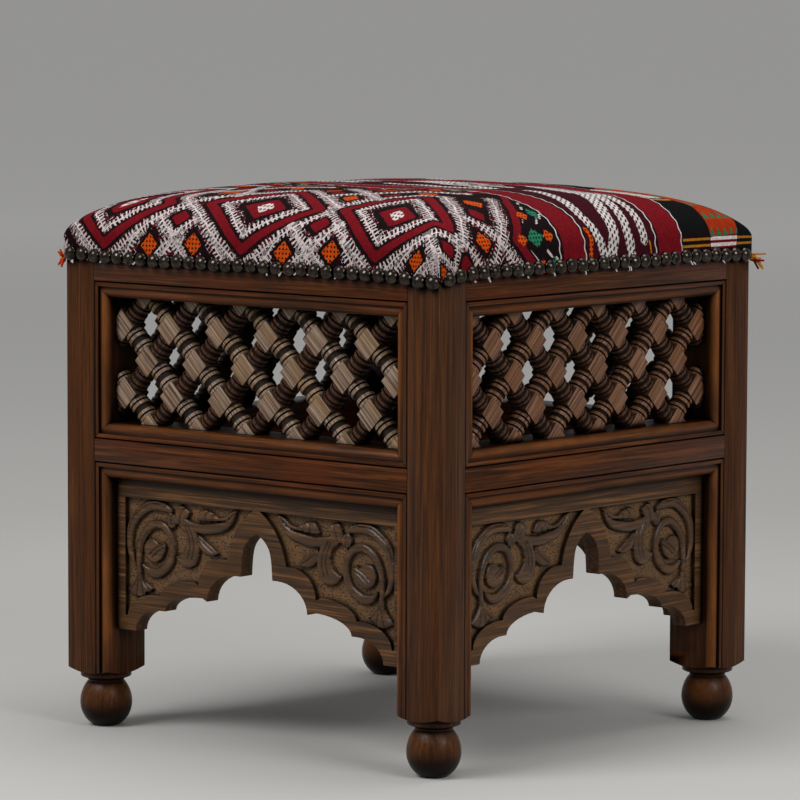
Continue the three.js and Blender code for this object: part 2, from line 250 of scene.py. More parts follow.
def stained_wood(name, dark, middle, light, red, sheen, fibre=0.24, shut_in=(0.45, 0.85)):
    """Stained pine: dark, middle and light are the stain across a growth ring, red its blotches,
    fibre how far single fibres differ, and shut_in the range of openness over which closed-in parts
    go from painted nearly black with shade to their own colour."""
    material, add, shader = new_material(name)
    grain = add("Attribute", out="Vector", attribute_name="grain")
    rings, lines, fibres, blotches = (
        add("TexNoise", {"Vector": add("Mapping", [grain, None, None, (along, across, across)]),
                         "Scale": 1.0, "Detail": detail, "Roughness": roughness,
                         "Distortion": distortion})
        for along, across, detail, roughness, distortion in FIGURE)
    part = add("Math", [lines, 0.7, rings], operation="MULTIPLY_ADD")
    colour = add("ValToRGB", [add("MapRange", [part, 0.6, 1.1])],
                 stops=((0.12, dark), (0.9, light), (0.5, middle)))
    blotch_share = add("MapRange", [blotches, 0.42, 0.72, 0.0, 0.7])
    # The lips of the mouldings were handled until the stain wore through in places.
    lip = add("Attribute", out="Fac", attribute_name="lip")
    patches = add("MapRange", [blotches, 0.36, 0.62, 0.1, 0.85])
    lip_share = add("Math", [lip, patches], operation="MULTIPLY")
    fibre_tone = add("MapRange", [fibres, 0.3, 0.7, 1.0 - fibre, 1.0 + fibre])
    # Painted shade darkens corners and grooves a few millimetres across, where stain and dust also
    # gather. The inside of the frame is painted nearly black with shade, the more so the more
    # closed in it is.
    corners = add("AmbientOcclusion", {"Distance": 0.006}, "AO", samples=8)
    inside = add("AmbientOcclusion", {"Distance": 0.07}, "AO", samples=8)
    painted_shade_and_dust = add("Math", [add("MapRange", [corners, 0.4, 0.9, 0.1, 1.0]),
                            add("MapRange", [inside, *shut_in, 0.06, 1.0])], operation="MULTIPLY")
    for share, blend, coat in (
            (blotch_share, "MIX", linear(red)), (lip_share, "MIX", linear(BARE_LIP)),
            (1.0, "MULTIPLY", fibre_tone), (1.0, "MULTIPLY", painted_shade_and_dust)):
        colour = add("Mix", {0: share, 6: colour, 7: coat}, 2, data_type="RGBA", blend_type=blend)
    relief = add("Math", [fibres, 0.5, part], operation="MULTIPLY_ADD")
    bump = add("Bump", {"Strength": 0.4, "Distance": 0.0004, "Height": relief})
    fill(shader, {
        "Base Color": colour, "Specular IOR Level": 0.13, "Normal": bump,
        "Roughness": add("MapRange", [rings, 0.3, 0.7, sheen + 0.1, sheen - 0.06])})
    return material, add, shader, colour, bump


post_wood = stained_wood("walnut_stained_pine_posts",
                         "#321b0d", "#472813", "#5d3719", "#4c280f", 0.32)[0]
rail_wood = stained_wood("walnut_stained_pine_rails",
                         "#2a160a", "#482610", "#6c3c1a", "#59290e", 0.32)[0]
print("frame finishes made")

# %% [markdown]
# The turned rods have the same stain, left almost black in the turner's lines. The front rods'
# faces are painted greyer with sheen, and their sides and the rods behind are painted darker with
# shade. The carver's board is stained too. Its raised work was rubbed greyer and smoother, and its
# ground is paler, punched all over with a blunt nail.

# %% Rod material
rod_wood, add, shader, stained, bump = stained_wood(
    "stained_turned_rods", "#4a372a", "#866d5d", "#b9a490", "#8a6a42", 0.34, 0.45, (0.2, 0.65))
# The front rods of two screens are painted grey with a sheen (tone 0), those of the other two are
# redder, with less painted sheen (0.5), and the rods behind keep their brown stain, painted darker
# with shade (1).
sheen_and_shade_tint = add("ValToRGB", [add("Attribute", out="Fac", attribute_name="tone")],
           stops=((0.0, "#ffffff"), (1.0, "#937564"), (0.5, "#dcbaa6")))
sheen_and_shade_tinted = add("Mix", {0: 1.0, 6: stained, 7: sheen_and_shade_tint}, 2, data_type="RGBA", blend_type="MULTIPLY")
# The turner's lines are stained almost black, and the rods' sides and backs are painted almost
# black with shade.
stain_and_shade = add("Attribute", out="Fac", attribute_name="stain_and_shade")
stain_and_shade_share = add("MapRange", [stain_and_shade, 0.12, 0.75, 0.0, 0.94])
fill(shader, {
    "Base Color": add("Mix", {0: stain_and_shade_share, 6: sheen_and_shade_tinted, 7: linear("#0f0a06")}, 2, data_type="RGBA"),
    "Roughness": add("MapRange", [stain_and_shade, 0.1, 0.6, 0.28, 0.9]), "Specular IOR Level": 0.22})
print("rod finish made")

# %% Carved board material
carved_wood, add, shader, colour, bump = stained_wood(
    "stained_carved_board", "#2f1d0f", "#4c321b", "#7c532d", "#4a2f14", 0.36, 0.3, (0.3, 0.8))
raised, carving = (add("Attribute", out="Fac", attribute_name=name)
                   for name in ("raised", "carving"))
grain = add("Attribute", out="Vector", attribute_name="grain")
on_ground = add("MapRange", [raised, 0.05, 0.3, 1.0, 0.0])
pale_share = add("Math", [on_ground, 0.5], operation="MULTIPLY")
# The punched dots stand about 2.3 mm apart.
punches = add("TexVoronoi", {"Vector": grain, "Scale": 430.0, "Randomness": 0.75}, "Distance")
dot = add("Math", [add("MapRange", [punches, 0.16, 0.34, 1.0, 0.0]), on_ground],
          operation="MULTIPLY")
worn = add("Math", [raised, carving], operation="MULTIPLY")
worn_share = add("MapRange", [worn, 0.3, 0.9, 0.0, 0.45])
# The outlines are painted nearly black with shade at the foot of each scroll, where the stain also
# ran down.
crevice_occlusion = add("AmbientOcclusion", {"Distance": 0.004}, "AO", samples=8)
crevice_shade_and_stain = add("MapRange", [crevice_occlusion, 0.4, 0.85, 0.25, 1.0])
for share, blend, coat in (
        (pale_share, "MIX", linear("#836240")), (worn_share, "MIX", linear("#523d2b")),
        (1.0, "MULTIPLY", crevice_shade_and_stain), (dot, "MIX", linear("#180f08"))):
    colour = add("Mix", {0: share, 6: colour, 7: coat}, 2, data_type="RGBA", blend_type=blend)
dents = add("Bump", {"Strength": 0.8, "Distance": 0.0006, "Height": dot, "Normal": bump},
            invert=True)
fill(shader, {"Base Color": colour, "Specular IOR Level": 0.3, "Normal": dents,
              "Roughness": add("MapRange", [worn, 0.3, 0.9, 0.5, 0.26])})
print("carved board's finish made")

# %% [markdown]
# ## Working on a mesh by hand
# These few helpers stand for what a hand does in the viewport: clear the selection,
# pick faces by their place, run a modifier and apply it, turn a finished piece into
# its side's place. Each copy has its own mesh, as each board is its own piece of wood.

# %% Select and edit
def pick(piece):
    """Makes the piece the only selected and the active object."""
    bpy.ops.object.select_all(action="DESELECT")
    piece.select_set(True)
    bpy.context.view_layer.objects.active = piece


def edit(piece):
    """Enters edit mode with all of the piece selected."""
    pick(piece)
    bpy.ops.object.mode_set(mode="EDIT")
    bpy.ops.mesh.select_mode(type="VERT")
    bpy.ops.mesh.select_all(action="SELECT")


def choose_faces(piece, wanted):
    """In edit mode, selects the faces that pass a test: wanted(middle, normal)."""
    bpy.ops.mesh.select_mode(type="FACE")
    bpy.ops.mesh.select_all(action="DESELECT")
    bpy.ops.object.mode_set(mode="OBJECT")
    for face in piece.data.polygons:
        face.select = wanted(face.center, face.normal)
    bpy.ops.object.mode_set(mode="EDIT")


def leave_edit(turn_out=False):
    """Leaves edit mode, where asked with all the faces turned to point outwards."""
    if turn_out:
        bpy.ops.mesh.select_all(action="SELECT")
        bpy.ops.mesh.normals_make_consistent(inside=False)
    bpy.ops.object.mode_set(mode="OBJECT")


def modify(piece, kind, **settings):
    """Adds a modifier with its settings and applies it."""
    pick(piece)
    modifier = piece.modifiers.new(kind.lower(), kind)
    for name, value in settings.items():
        setattr(modifier, name, value)
    bpy.ops.object.modifier_apply(modifier=modifier.name)


def smooth_edges(piece, bevel=0.0, angle=30):
    """Breaks the sharp edges by a small bevel and shades the rest smooth."""
    if bevel:
        modify(piece, "BEVEL", width=bevel * MM, segments=2, limit_method="ANGLE",
               angle_limit=math.radians(angle), harden_normals=False)
    pick(piece)
    bpy.ops.object.shade_smooth_by_angle(angle=math.radians(angle))


print("editing helpers ready")

# %% Copy, join and place
def copied(piece, name):
    """A copy with a mesh of its own."""
    pick(piece)
    bpy.ops.object.duplicate()
    copy = bpy.context.object
    copy.name = copy.data.name = name
    return copy


def merged_copy(node, name):
    """A copy of a CAD node to work on: loose triangles merged and flat faces made whole."""
    piece = copied(frame["nodes"][node], name)
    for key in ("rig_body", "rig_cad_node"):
        if key in piece:
            del piece[key]
    piece.parent = None
    piece.rotation_mode = "XYZ"
    piece.data.materials.clear()
    edit(piece)
    bpy.ops.mesh.remove_doubles(threshold=0.02 * MM)
    bpy.ops.mesh.dissolve_limited(angle_limit=math.radians(1))
    leave_edit()
    return piece


def join(name, pieces):
    """Joins the pieces into the first of them."""
    pick(pieces[0])
    for piece in pieces:
        piece.select_set(True)
    bpy.ops.object.join()
    pieces[0].name = pieces[0].data.name = name
    return pieces[0]


def settle(piece):
    """Puts the piece's place into its mesh, so that its object sits at the origin."""
    pick(piece)
    bpy.ops.object.transform_apply(location=True, rotation=True, scale=True)


def turned_copy(piece, name, turns):
    """A copy turned by quarter turns about the stool's axis."""
    copy = copied(piece, name)
    copy.rotation_euler = (0, 0, turns * QUARTER)
    settle(copy)
    return copy


def finish_piece(piece, material, nodes):
    """Gives a piece its material and its place on the body, and hides the CAD nodes that it stands
    for.
    """
    piece.data.materials.clear()
    piece.data.materials.append(material)
    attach(piece, "root")
    if nodes:
        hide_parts(*nodes)


print("placing helpers ready")

# %% [markdown]
# A material reads where a point lies in its board, or how worn it is, from attributes
# on the mesh. They are worked out here for all the points of a piece at once.

# %% Attributes
LIP_WIDE, LIP_FADE, LIP_DEEP = 7, 3, 7.6
NECK_TOP = 39
WORN_FOOT = 0.35


def places_of(piece):
    """The places of the vertices, in metres."""
    places = np.empty(len(piece.data.vertices) * 3)
    piece.data.vertices.foreach_get("co", places)
    return places.reshape(-1, 3)


def store(piece, name, values, domain="POINT"):
    """Stores an attribute: one number for all, or a number or vector for each element."""
    if np.ndim(values) == 0:
        values = np.full(len(piece.data.vertices), values)
    kind, field = ("FLOAT_VECTOR", "vector") if np.ndim(values) == 2 else ("FLOAT", "value")
    if name not in piece.data.attributes:
        piece.data.attributes.new(name, kind, domain)
    piece.data.attributes[name].data.foreach_set(field, np.ravel(values))


def set_grain(piece, along, shift=(0.0, 0.0, 0.0), fine=1.0):
    """Stores each vertex's place in its board, with the grain along the first axis and
    its lines that many times finer."""
    store(piece, "grain", places_of(piece)[:, list(along)] * (1, fine, fine) + np.array(shift))


def set_lip(piece, strength):
    """Stores at each face corner how near it is to the lip of a moulding, on any side of the
    stool. Faces that look along the opening's wall aren't lip. The ball feet are worn too."""
    mesh = piece.data
    vertex_of_corner = np.empty(len(mesh.loops), int)
    mesh.loops.foreach_get("vertex_index", vertex_of_corner)
    normals = np.repeat([face.normal[:] for face in mesh.polygons],
                        [face.loop_total for face in mesh.polygons], axis=0)
    x, y, z = (places_of(piece)[vertex_of_corner] / MM).T
    lip = np.zeros(len(x))
    for across, depth, facing in ((x, y + HALF, -normals[:, 1]), (y, HALF - x, normals[:, 0]),
                                  (x, HALF - y, normals[:, 1]), (y, x + HALF, -normals[:, 0])):
        for low, high in ((MIDDLE_RAIL_TOP, TOP_RAIL_FLOOR), (0, MIDDLE_RAIL_FLOOR)):
            outside = np.maximum.reduce([np.abs(across) - OPENING, low - z, z - high])
            on_lip = (outside > -0.5) & (depth < LIP_DEEP) & (facing > 0.12)
            share = np.clip((LIP_WIDE - outside) / LIP_FADE, 0, 1) * on_lip
            lip = np.maximum(lip, share * strength)
    store(piece, "lip", np.where(z < NECK_TOP, WORN_FOOT, lip), "CORNER")


print("attribute helpers ready")

# %% [markdown]
# ## Posts
# Each post is one length of square stock. Its foot was turned on the lathe: the tool
# left the shallow cone where the square stock begins, a collar, a neck and a ball.
# The CAD copy keeps the joints and the mouldings. Its coarse foot is cut away, the
# stock is run on downwards, trimmed by a finely turned cone, and joined to a new
# foot spun from its profile.

# %% Turned foot
CENTRE = HALF - POST / 2
COLLAR = 21


def drawn(name, points):
    """A line through points (x, y, z) in millimetres, extruded from one vertex. It is left in
    edit mode with all of it selected."""
    bpy.ops.object.select_all(action="DESELECT")
    bpy.ops.mesh.primitive_plane_add(size=MM)
    piece = bpy.context.object
    piece.name = name
    edit(piece)
    bpy.ops.mesh.merge(type="CENTER")
    bpy.ops.transform.translate(value=[value * MM for value in points[0]])
    for one, other in zip(points, points[1:]):
        bpy.ops.mesh.extrude_region_move(
            TRANSFORM_OT_translate={"value": [(b - a) * MM for a, b in zip(one, other)]})
    bpy.ops.mesh.select_all(action="SELECT")
    return piece


def spun(name, profile, centre_x, centre_y, sides=48):
    """Spins a profile of (radius, height) about a vertical axis, as on the lathe."""
    piece = drawn(name, [(centre_x + radius, centre_y, height) for radius, height in profile])
    bpy.ops.mesh.spin(steps=sides, angle=2 * math.pi,
                      center=(centre_x * MM, centre_y * MM, 0), axis=(0, 0, 1))
    bpy.ops.mesh.select_all(action="SELECT")
    bpy.ops.mesh.remove_doubles(threshold=0.01 * MM)
    leave_edit(turn_out=True)
    return piece


def foot_profile():
    """Ball, neck and collar from the floor up: (radius, height)."""
    flat, ball, middle, neck, neck_height = 10, 21.5, 19.5, 14.75, 37.5
    low = math.asin(flat / ball)
    high = math.pi - math.asin(neck / ball)
    points = [(0, 0), (flat, 0)]
    steps = 22
    for step in range(1, steps + 1):
        angle = low + (high - low) * step / steps
        rise = (middle / math.cos(low) if angle < QUARTER
                else (middle - neck_height) / math.cos(high))
        points.append((ball * math.sin(angle), middle - rise * math.cos(angle)))
    points += [(14.9, 38.6), (16.2, 39.6), (18.6, 40.5), (20.4, 41.2), (COLLAR, 42), (COLLAR, 43.2),
               (20.7, SHOULDER + 0.6), (0, SHOULDER + 0.6)]
    return points


foot = spun("foot", foot_profile(), CENTRE, -CENTRE)
print("foot faces:", len(foot.data.polygons))

# %% Post from the CAD copy, with the new foot
CUT_HEIGHT = 60
CONE_SLOPE = math.tan(math.radians(23.5))
WORN_EDGE = 0.45


def make_post():
    post = merged_copy("post_front_right", "post_front_right_wood")
    edit(post)
    bpy.ops.mesh.bisect(plane_co=(0, 0, CUT_HEIGHT * MM), plane_no=(0, 0, 1),
                        use_fill=True, clear_inner=True)
    choose_faces(post, lambda middle, normal: (
        middle.z < (CUT_HEIGHT + 0.1) * MM and abs(normal.z) > 0.9))
    bpy.ops.mesh.extrude_region_move(
        TRANSFORM_OT_translate={"value": (0, 0, (SHOULDER - 0.2 - CUT_HEIGHT) * MM)})
    leave_edit(turn_out=True)
    over = FRAME_TOP + 5
    cone = spun("shoulder_cone", [
        (0, SHOULDER), (COLLAR, SHOULDER), (POST, SHOULDER + (POST - COLLAR) * CONE_SLOPE),
        (POST, over), (0, over)], CENTRE, -CENTRE, 64)
    modify(post, "BOOLEAN", object=cone, operation="INTERSECT", solver="EXACT")
    modify(post, "BOOLEAN", object=foot, operation="UNION", solver="EXACT")
    bpy.data.objects.remove(cone)
    smooth_edges(post, bevel=WORN_EDGE)
    return post


front_post = make_post()
posts = [front_post] + [
    turned_copy(front_post, f"post_{corner}_wood", turns)
    for turns, corner in enumerate(CORNERS) if turns]
bpy.data.objects.remove(foot)
for turns, (corner, post) in enumerate(zip(CORNERS, posts)):
    set_grain(post, (2, 0, 1), (1.3 * turns, 0.31 * turns, 0.17 * turns))
    set_lip(post, 0.9)
    finish_piece(post, post_wood, [f"post_{corner}"])
print("post faces:", len(front_post.data.polygons))

# %% [markdown]
# ## Rails
# The rails are as deep as the posts. Their mouldings were run with a plane and meet
# the posts' in mitres. The CAD nodes already have the true section, joints and all,
# so copies of them only get their hard edges broken and their own wood.

# %% Rails
rail_faces = 0
for turns, side in enumerate(SIDES):
    for level, (kind, worn) in enumerate((("top_rail", 0.3), ("middle_rail", 0.6))):
        rail = merged_copy(f"{kind}_{side}", f"{kind}_{side}_wood")
        smooth_edges(rail, bevel=WORN_EDGE)
        along = (0, 1, 2) if turns % 2 == 0 else (1, 0, 2)
        set_grain(rail, along, (2.1 * turns + 0.7 * level, 0.37 * level, 0.19 * turns + 0.41))
        set_lip(rail, worn)
        finish_piece(rail, rail_wood, [f"{kind}_{side}"])
        rail_faces += len(rail.data.polygons)
print("rail faces:", rail_faces)

# %% [markdown]
# ## Lattice screens
# Each screen is a grille of turned rods. The turner leaves square blocks on a rod and
# turns a bobbin between each two: a long bead, a short bead, a cove and the same again.
# The rods cross on the diagonal and are halved into each other at the blocks, so all
# lie in one plane, and only the front rods' blocks show whole. One block and one
# bobbin are modelled, repeated along a rod, and the rods are laid across the window
# and sawn off at its edges.

# %% One block and one bobbin
BLOCK = 18.5
# A front block shows its whole face; the one behind starts this deep inside it.
HALVING = 6.5
COVE, STUB, SUNK = 6.7, 5.5, 0.4
# Half a bobbin from its block to the middle, (place along, radius): a long bead, a cut
# line and a short bead.
BOBBIN_HALF = [(0.0, 7.8), (0.7, 8.7), (3.2, 8.7), (3.6, 6.9), (4.6, 6.9), (4.9, 8.6),
               (7.6, 8.5), (8.1, 6.9)]
LINKS = 5


def set_stain_and_shade(piece, dark):
    """Stores how dark each vertex is painted, stain and shade together, from how far behind the
    rod's axis and how high it lies.
    """
    _, behind, up = places_of(piece).T / MM
    store(piece, "stain_and_shade", np.clip(dark(behind, up), 0, 1))


def make_bobbin(pitch):
    far = pitch - BLOCK
    line = [(-SUNK, 0), (-SUNK, STUB), *BOBBIN_HALF, (far / 2, COVE),
            *((far - at, radius) for at, radius in reversed(BOBBIN_HALF)),
            (far + SUNK, STUB), (far + SUNK, 0)]
    bobbin = spun("bobbin", [(radius, BLOCK / 2 + at) for at, radius in line], 0, 0, sides=12)
    bobbin.rotation_euler = (0, QUARTER, 0)
    settle(bobbin)
    # Stained dark below the beads' full radius, and painted dark with shade behind the rod's face.
    set_stain_and_shade(bobbin, lambda behind, up: np.maximum(
        (8.4 - np.hypot(behind, up)) / 2.2, (behind + 2.0) / 9.0))
    smooth_edges(bobbin, angle=50)
    return bobbin


def make_block(layer):
    """A block between two depths from the rod's axis, its edges a little worn."""
    near, far = (-BLOCK / 2, HALVING) if layer == 0 else (-HALVING, HALVING + 0.1)
    bpy.ops.object.select_all(action="DESELECT")
    bpy.ops.mesh.primitive_cube_add(size=BLOCK * MM)
    block = bpy.context.object
    for face_y, wanted in ((-BLOCK / 2, near), (BLOCK / 2, far)):
        edit(block)
        choose_faces(block, lambda middle, normal: middle.y * face_y > 0 and abs(normal.y) > 0.9)
        bpy.ops.transform.translate(value=(0, (wanted - face_y) * MM, 0))
        leave_edit()
    smooth_edges(block, bevel=0.5)
    # All but the block's front face is painted dark with shade.
    set_stain_and_shade(block, lambda behind, up: np.where(behind > -BLOCK / 2 + 0.35, 0.6, 0.0))
    return block


def make_rod(layer, pitch):
    rod = join("rod", [make_block(layer), make_bobbin(pitch)])
    modify(rod, "ARRAY", count=LINKS, use_relative_offset=False, use_constant_offset=True,
           constant_offset_displace=(pitch * MM, 0, 0))
    return rod


print("a bobbin is", 2 * BOBBIN_HALF[1][1], "mm thick")

# %% Lay the rods across the window and saw them off
# The crossings stand 53 mm apart in a row. The maker laid the rods out by eye, so the
# screens differ: where a crossing lies beside the middle and under the top rail, and how
# far a front rod runs across and down from each crossing to the next.
APART = 53.0
LAYOUTS = {"front": (9.9, 23.4, 28.0, 27.6), "right": (-13.2, 24.2, 26.5, 26.6),
           "back": (-7.1, 22.4, 28.0, 27.6), "left": (-10.2, 26.2, 26.5, 26.6)}
PLAY = 0.3
ROD_FINER = 2.2


def lay_rods(side, handed):
    """A side's screen in the front's place. Its front rods fall to the right where handed is 1."""
    shift, drop, front_across, down = LAYOUTS[side]
    laid = []
    for layer, across in ((0, front_across), (1, APART - front_across)):
        rod = make_rod(layer, math.hypot(across, down))
        lean = handed if layer == 0 else -handed
        angle = math.atan2(down, across)
        for line in range(-6, 7):
            start_x = shift + line * APART - lean * across
            if not -OPENING - LINKS * across < start_x < OPENING + LINKS * across:
                continue
            copy = copied(rod, "rod")
            set_grain(copy, (0, 1, 2), (1.8 * line + 3.3 * layer, 0.142 * line, 0.11 * layer),
                      ROD_FINER)
            # The tone chooses the rod's painted sheen or, behind, its painted shade.
            store(copy, "tone", 1.0 if layer else 0.25 - 0.25 * handed)
            copy.rotation_euler = (0, angle if lean > 0 else math.pi - angle, 0)
            copy.location = (start_x * MM, (-HALF + INFILL + BLOCK / 2) * MM,
                             (TOP_RAIL_FLOOR - drop + down) * MM)
            settle(copy)
            laid.append(copy)
        bpy.data.objects.remove(rod)
    screen = join(f"lattice_rods_{side}", laid)
    reach = OPENING - PLAY
    for place, outward in (((reach, 0, 0), (1, 0, 0)), ((-reach, 0, 0), (-1, 0, 0)),
                           ((0, 0, TOP_RAIL_FLOOR - PLAY), (0, 0, 1)),
                           ((0, 0, MIDDLE_RAIL_TOP + PLAY), (0, 0, -1))):
        edit(screen)
        bpy.ops.mesh.bisect(plane_co=[value * MM for value in place], plane_no=outward,
                            use_fill=True, clear_outer=True)
        leave_edit()
    return screen


for turns, side in enumerate(SIDES):
    rods = lay_rods(side, 1 if turns % 2 == 0 else -1)
    screen = turned_copy(rods, f"lattice_screen_{side}_rods", turns)
    bpy.data.objects.remove(rods)
    finish_piece(screen, rod_wood, [f"lattice_screen_{side}"])
print("lattice faces a side:", len(screen.data.polygons))

# %% [markdown]
# ## Arch panels
# Each panel is one board. A pointed arch with three lobes a side is sawn through it.
# A border follows the arch, and outside that border the field is carved 4 mm down
# to a punched ground, from which scrolls and leaves stand up to the old surface. So
# the carving is made as the carver made it, by taking wood away: the waste over the
# carving is modelled as one block whose underside has the relief, and it is cut from
# the board.

# %% Outline of the arch
def smoothed(points, steps=6):
    """A smooth line through the points (Catmull-Rom)."""
    ends = [points[0], *points, points[-1]]
    line = []
    for a, b, c, d in zip(ends, ends[1:], ends[2:], ends[3:]):
        for step in range(steps):
            t = step / steps
            line.append(tuple(
                0.5 * (2 * b[i] + (c[i] - a[i]) * t
                       + (2 * a[i] - 5 * b[i] + 4 * c[i] - d[i]) * t * t
                       + (3 * b[i] - a[i] - 3 * c[i] + d[i]) * t ** 3)
                for i in range(len(b))))
    line.append(tuple(points[-1]))
    return line


def lobe(start, end, rise, steps=9):
    """One lobe, from its inner cusp out and down to the next."""
    (x0, z0), (x1, z1) = start, end
    crest_x, crest_z = x0 + 5, z0 + rise
    return [start] + [
        (crest_x + (x1 - crest_x) * math.sin(QUARTER * step / steps),
         z1 + (crest_z - z1) * math.cos(QUARTER * step / steps)) for step in range(steps)]


def arch_half(margin):
    """Right half of the arch, from its point to its foot, or of a line that far outside it."""
    spreads = [share * margin for share in (1.2, 0.74, 0.4, 0.7)]
    lancet_x, first_x, second_x, foot_x = (
        place + spread for place, spread in zip((16.8, 54.1, 100.8, 133.8), spreads))
    foot_z = PANEL_FOOT + margin
    second_z, first_z, lancet_z = foot_z + 19.2, foot_z + 31.5, foot_z + 55.5
    tip = 35.5 + margin * 0.6
    shares = ((0, 1), (0.33, 0.92), (0.61, 0.8), (0.82, 0.64), (0.94, 0.38), (1, 0))
    if margin:
        shares = ((0, 1), (0.2, 0.93), (0.42, 0.8), (0.62, 0.64), (0.82, 0.4), (0.93, 0.2), (1, 0))
    lancet = smoothed([(across * lancet_x, lancet_z + up * tip) for across, up in shares], 3)
    return (lancet[:-1] + lobe((lancet_x, lancet_z), (first_x, first_z), 0)
            + lobe((first_x, first_z), (second_x, second_z), 2.5)
            + lobe((second_x, second_z), (foot_x, foot_z), 0) + [(foot_x, foot_z)])


def outlined(name, points, near, far):
    """A closed outline (x, z), filled, and extruded from one depth to another."""
    piece = drawn(name, [(x, near - HALF, z) for x, z in points])
    bpy.ops.mesh.edge_face_add()
    bpy.ops.mesh.extrude_region_move(
        TRANSFORM_OT_translate={"value": (0, (far - near) * MM, 0)})
    leave_edit(turn_out=True)
    return piece


BOARD = 14
arch = arch_half(0)
reach = OPENING - PLAY
panel_top = MIDDLE_RAIL_FLOOR - PLAY
board_outline = [(reach, PANEL_FOOT), (reach, panel_top), (-reach, panel_top), (-reach, PANEL_FOOT),
                 *((-x, z) for x, z in reversed(arch[1:])), *arch]
panel = outlined("arch_panel", board_outline, INFILL, INFILL + BOARD)
smooth_edges(panel, bevel=0.7, angle=40)
print("points round the arch:", 2 * len(arch))

# %% The carving's lines, on the right half of the panel
# Scrolls and stalks: points along the middle (x, z) and the half width there.
SCROLLS = (
    ([(95.9, 185.9, 2.5), (103.5, 187.9, 3.8), (111.6, 188.6, 4.2), (119.8, 187.6, 4.5),
      (127.3, 183.6, 4.5), (134.7, 177.5, 4.5), (139.9, 169.7, 4.2), (141.8, 160.7, 3.6),
      (141.4, 151.4, 3.4), (138.6, 143.4, 2.8), (134.6, 137.3, 1.0)]),
    ([(130.8, 132.8, 2.5), (131.6, 142.1, 3.0), (130.5, 152.4, 3.4), (127.3, 161.4, 3.8),
      (121.2, 168.6, 4.0), (112.4, 172.9, 3.9), (103.5, 172.2, 3.5), (96.9, 166.4, 3.4),
      (93.7, 157.8, 3.2), (94.3, 148.5, 3.5), (98.4, 140.9, 3.9), (105.3, 135.5, 4.2),
      (112.5, 132.9, 4.2), (120, 134, 3.5), (126.1, 138.5, 1.5)]),
    ([(23.3, 190.3, 0.8), (28.6, 182.9, 2.5), (35.7, 178, 3.8), (46.9, 175.2, 4.4),
      (59.4, 173.6, 4.4), (71.2, 175, 3.8), (81.5, 178.2, 3.2)]),
)
# Leaves and buds: closed outlines.
LEAVES = (
    [(129.5, 134.2), (126.1, 126.6), (115.9, 120.7), (117.6, 117.8), (123, 116), (125.2, 112.5),
     (134.7, 112), (144, 117.1), (138.3, 122.1), (134.2, 129), (132.5, 134.2)],
    [(100.5, 155.3), (103.8, 159.4), (108.5, 157.8), (114.4, 161), (121.2, 160), (125.1, 155),
     (125, 148.7), (122, 144.1), (115.9, 141.5), (109.7, 142.6), (104.1, 147.3)],
    [(76.7, 179.1), (69.1, 173), (64.4, 164), (63.6, 154.5), (66.7, 145.4), (72.2, 141.2),
     (78.6, 140.7), (84.6, 142.9), (89.9, 148.6), (85.2, 150.8), (80.2, 155), (78, 161),
     (79.3, 168.5), (86.2, 174.3), (84, 178)],
    [(64.7, 168.7), (55.2, 163.7), (43.4, 155.8), (48.3, 152.9), (56, 153.2), (62.5, 157),
     (64.4, 162.4)],
    [(73.9, 186.2), (78.1, 189.2), (82.9, 190.8), (87.6, 190), (89.8, 185), (91.4, 178.7),
     (88.1, 175), (82.4, 176.5), (77.4, 180.3)],
    [(95.9, 184.3), (99.6, 180.6), (98.8, 174.1), (93.1, 170.9), (89.5, 176.1), (91.4, 182)],
    [(20.3, 193.1), (28.6, 190.2), (35.9, 185.8), (42.7, 184.5), (47.5, 187.6), (54.1, 189.2),
     (61, 189.2), (64.6, 186), (66, 180.6), (55.2, 180.3), (44.1, 181.2), (34.3, 182.7),
     (27.2, 187.1)],
)
# Veins and gashes cut into them: points along the middle, and the half width.
VEINS = (
    [(129.5, 129.5, 0.4), (127.1, 120, 0.6), (125.8, 113.1, 0.5)],
    [(130.6, 129.6, 0.4), (132.5, 120.5, 0.6), (134.2, 112.9, 0.5)],
    [(131.7, 129.7, 0.4), (137, 122, 0.6), (142.3, 116.8, 0.5)],
    [(127.6, 126.2, 0.4), (123.4, 121.7, 0.6), (118.9, 118.3, 0.5)],
    [(102.2, 154.9, 0.4), (109, 151.4, 0.6), (115.9, 145.8, 0.4)],
    [(103.5, 157.6, 0.4), (111.7, 153.7, 0.6), (119.3, 147.7, 0.4)],
    [(76, 175.5, 0.4), (70.8, 166.7, 0.6), (69.1, 157.1, 0.6), (71.7, 147.9, 0.4)],
    [(78.8, 174.7, 0.4), (74.4, 165.9, 0.5), (73.3, 157.5, 0.5), (76.1, 148.4, 0.4)],
    [(53.8, 188.2, 0.4), (56.9, 184.2, 0.6), (55.2, 179.7, 0.4)],
    [(46.8, 186.5, 0.4), (48.9, 183.6, 0.6), (47.6, 180.1, 0.4)],
    [(80.1, 189.4, 0.4), (83.6, 183.4, 0.6), (85.4, 176.3, 0.4)],
    [(93.6, 182.7, 0.4), (94.6, 177.6, 0.5), (93.2, 172.3, 0.4)],
    [(62.2, 164.8, 0.4), (55.9, 160.1, 0.5), (47.6, 155.2, 0.4)],
    [(101, 189.4, 0.4), (111.6, 189.9, 0.5), (121.5, 188.2, 0.5), (136.4, 178.4, 0.5),
     (143, 165, 0.4)],
    [(129.3, 148, 0.4), (125.6, 159.6, 0.5), (119.4, 166.4, 0.5), (110, 170.6, 0.4)],
)
print("scrolls, leaves and veins:", len(SCROLLS), len(LEAVES), len(VEINS))

# %% The carving as a height over the ground
GROUND = 4.2
RELIEF = 4.0
ROUNDED = 5.5
GASH = 1.3


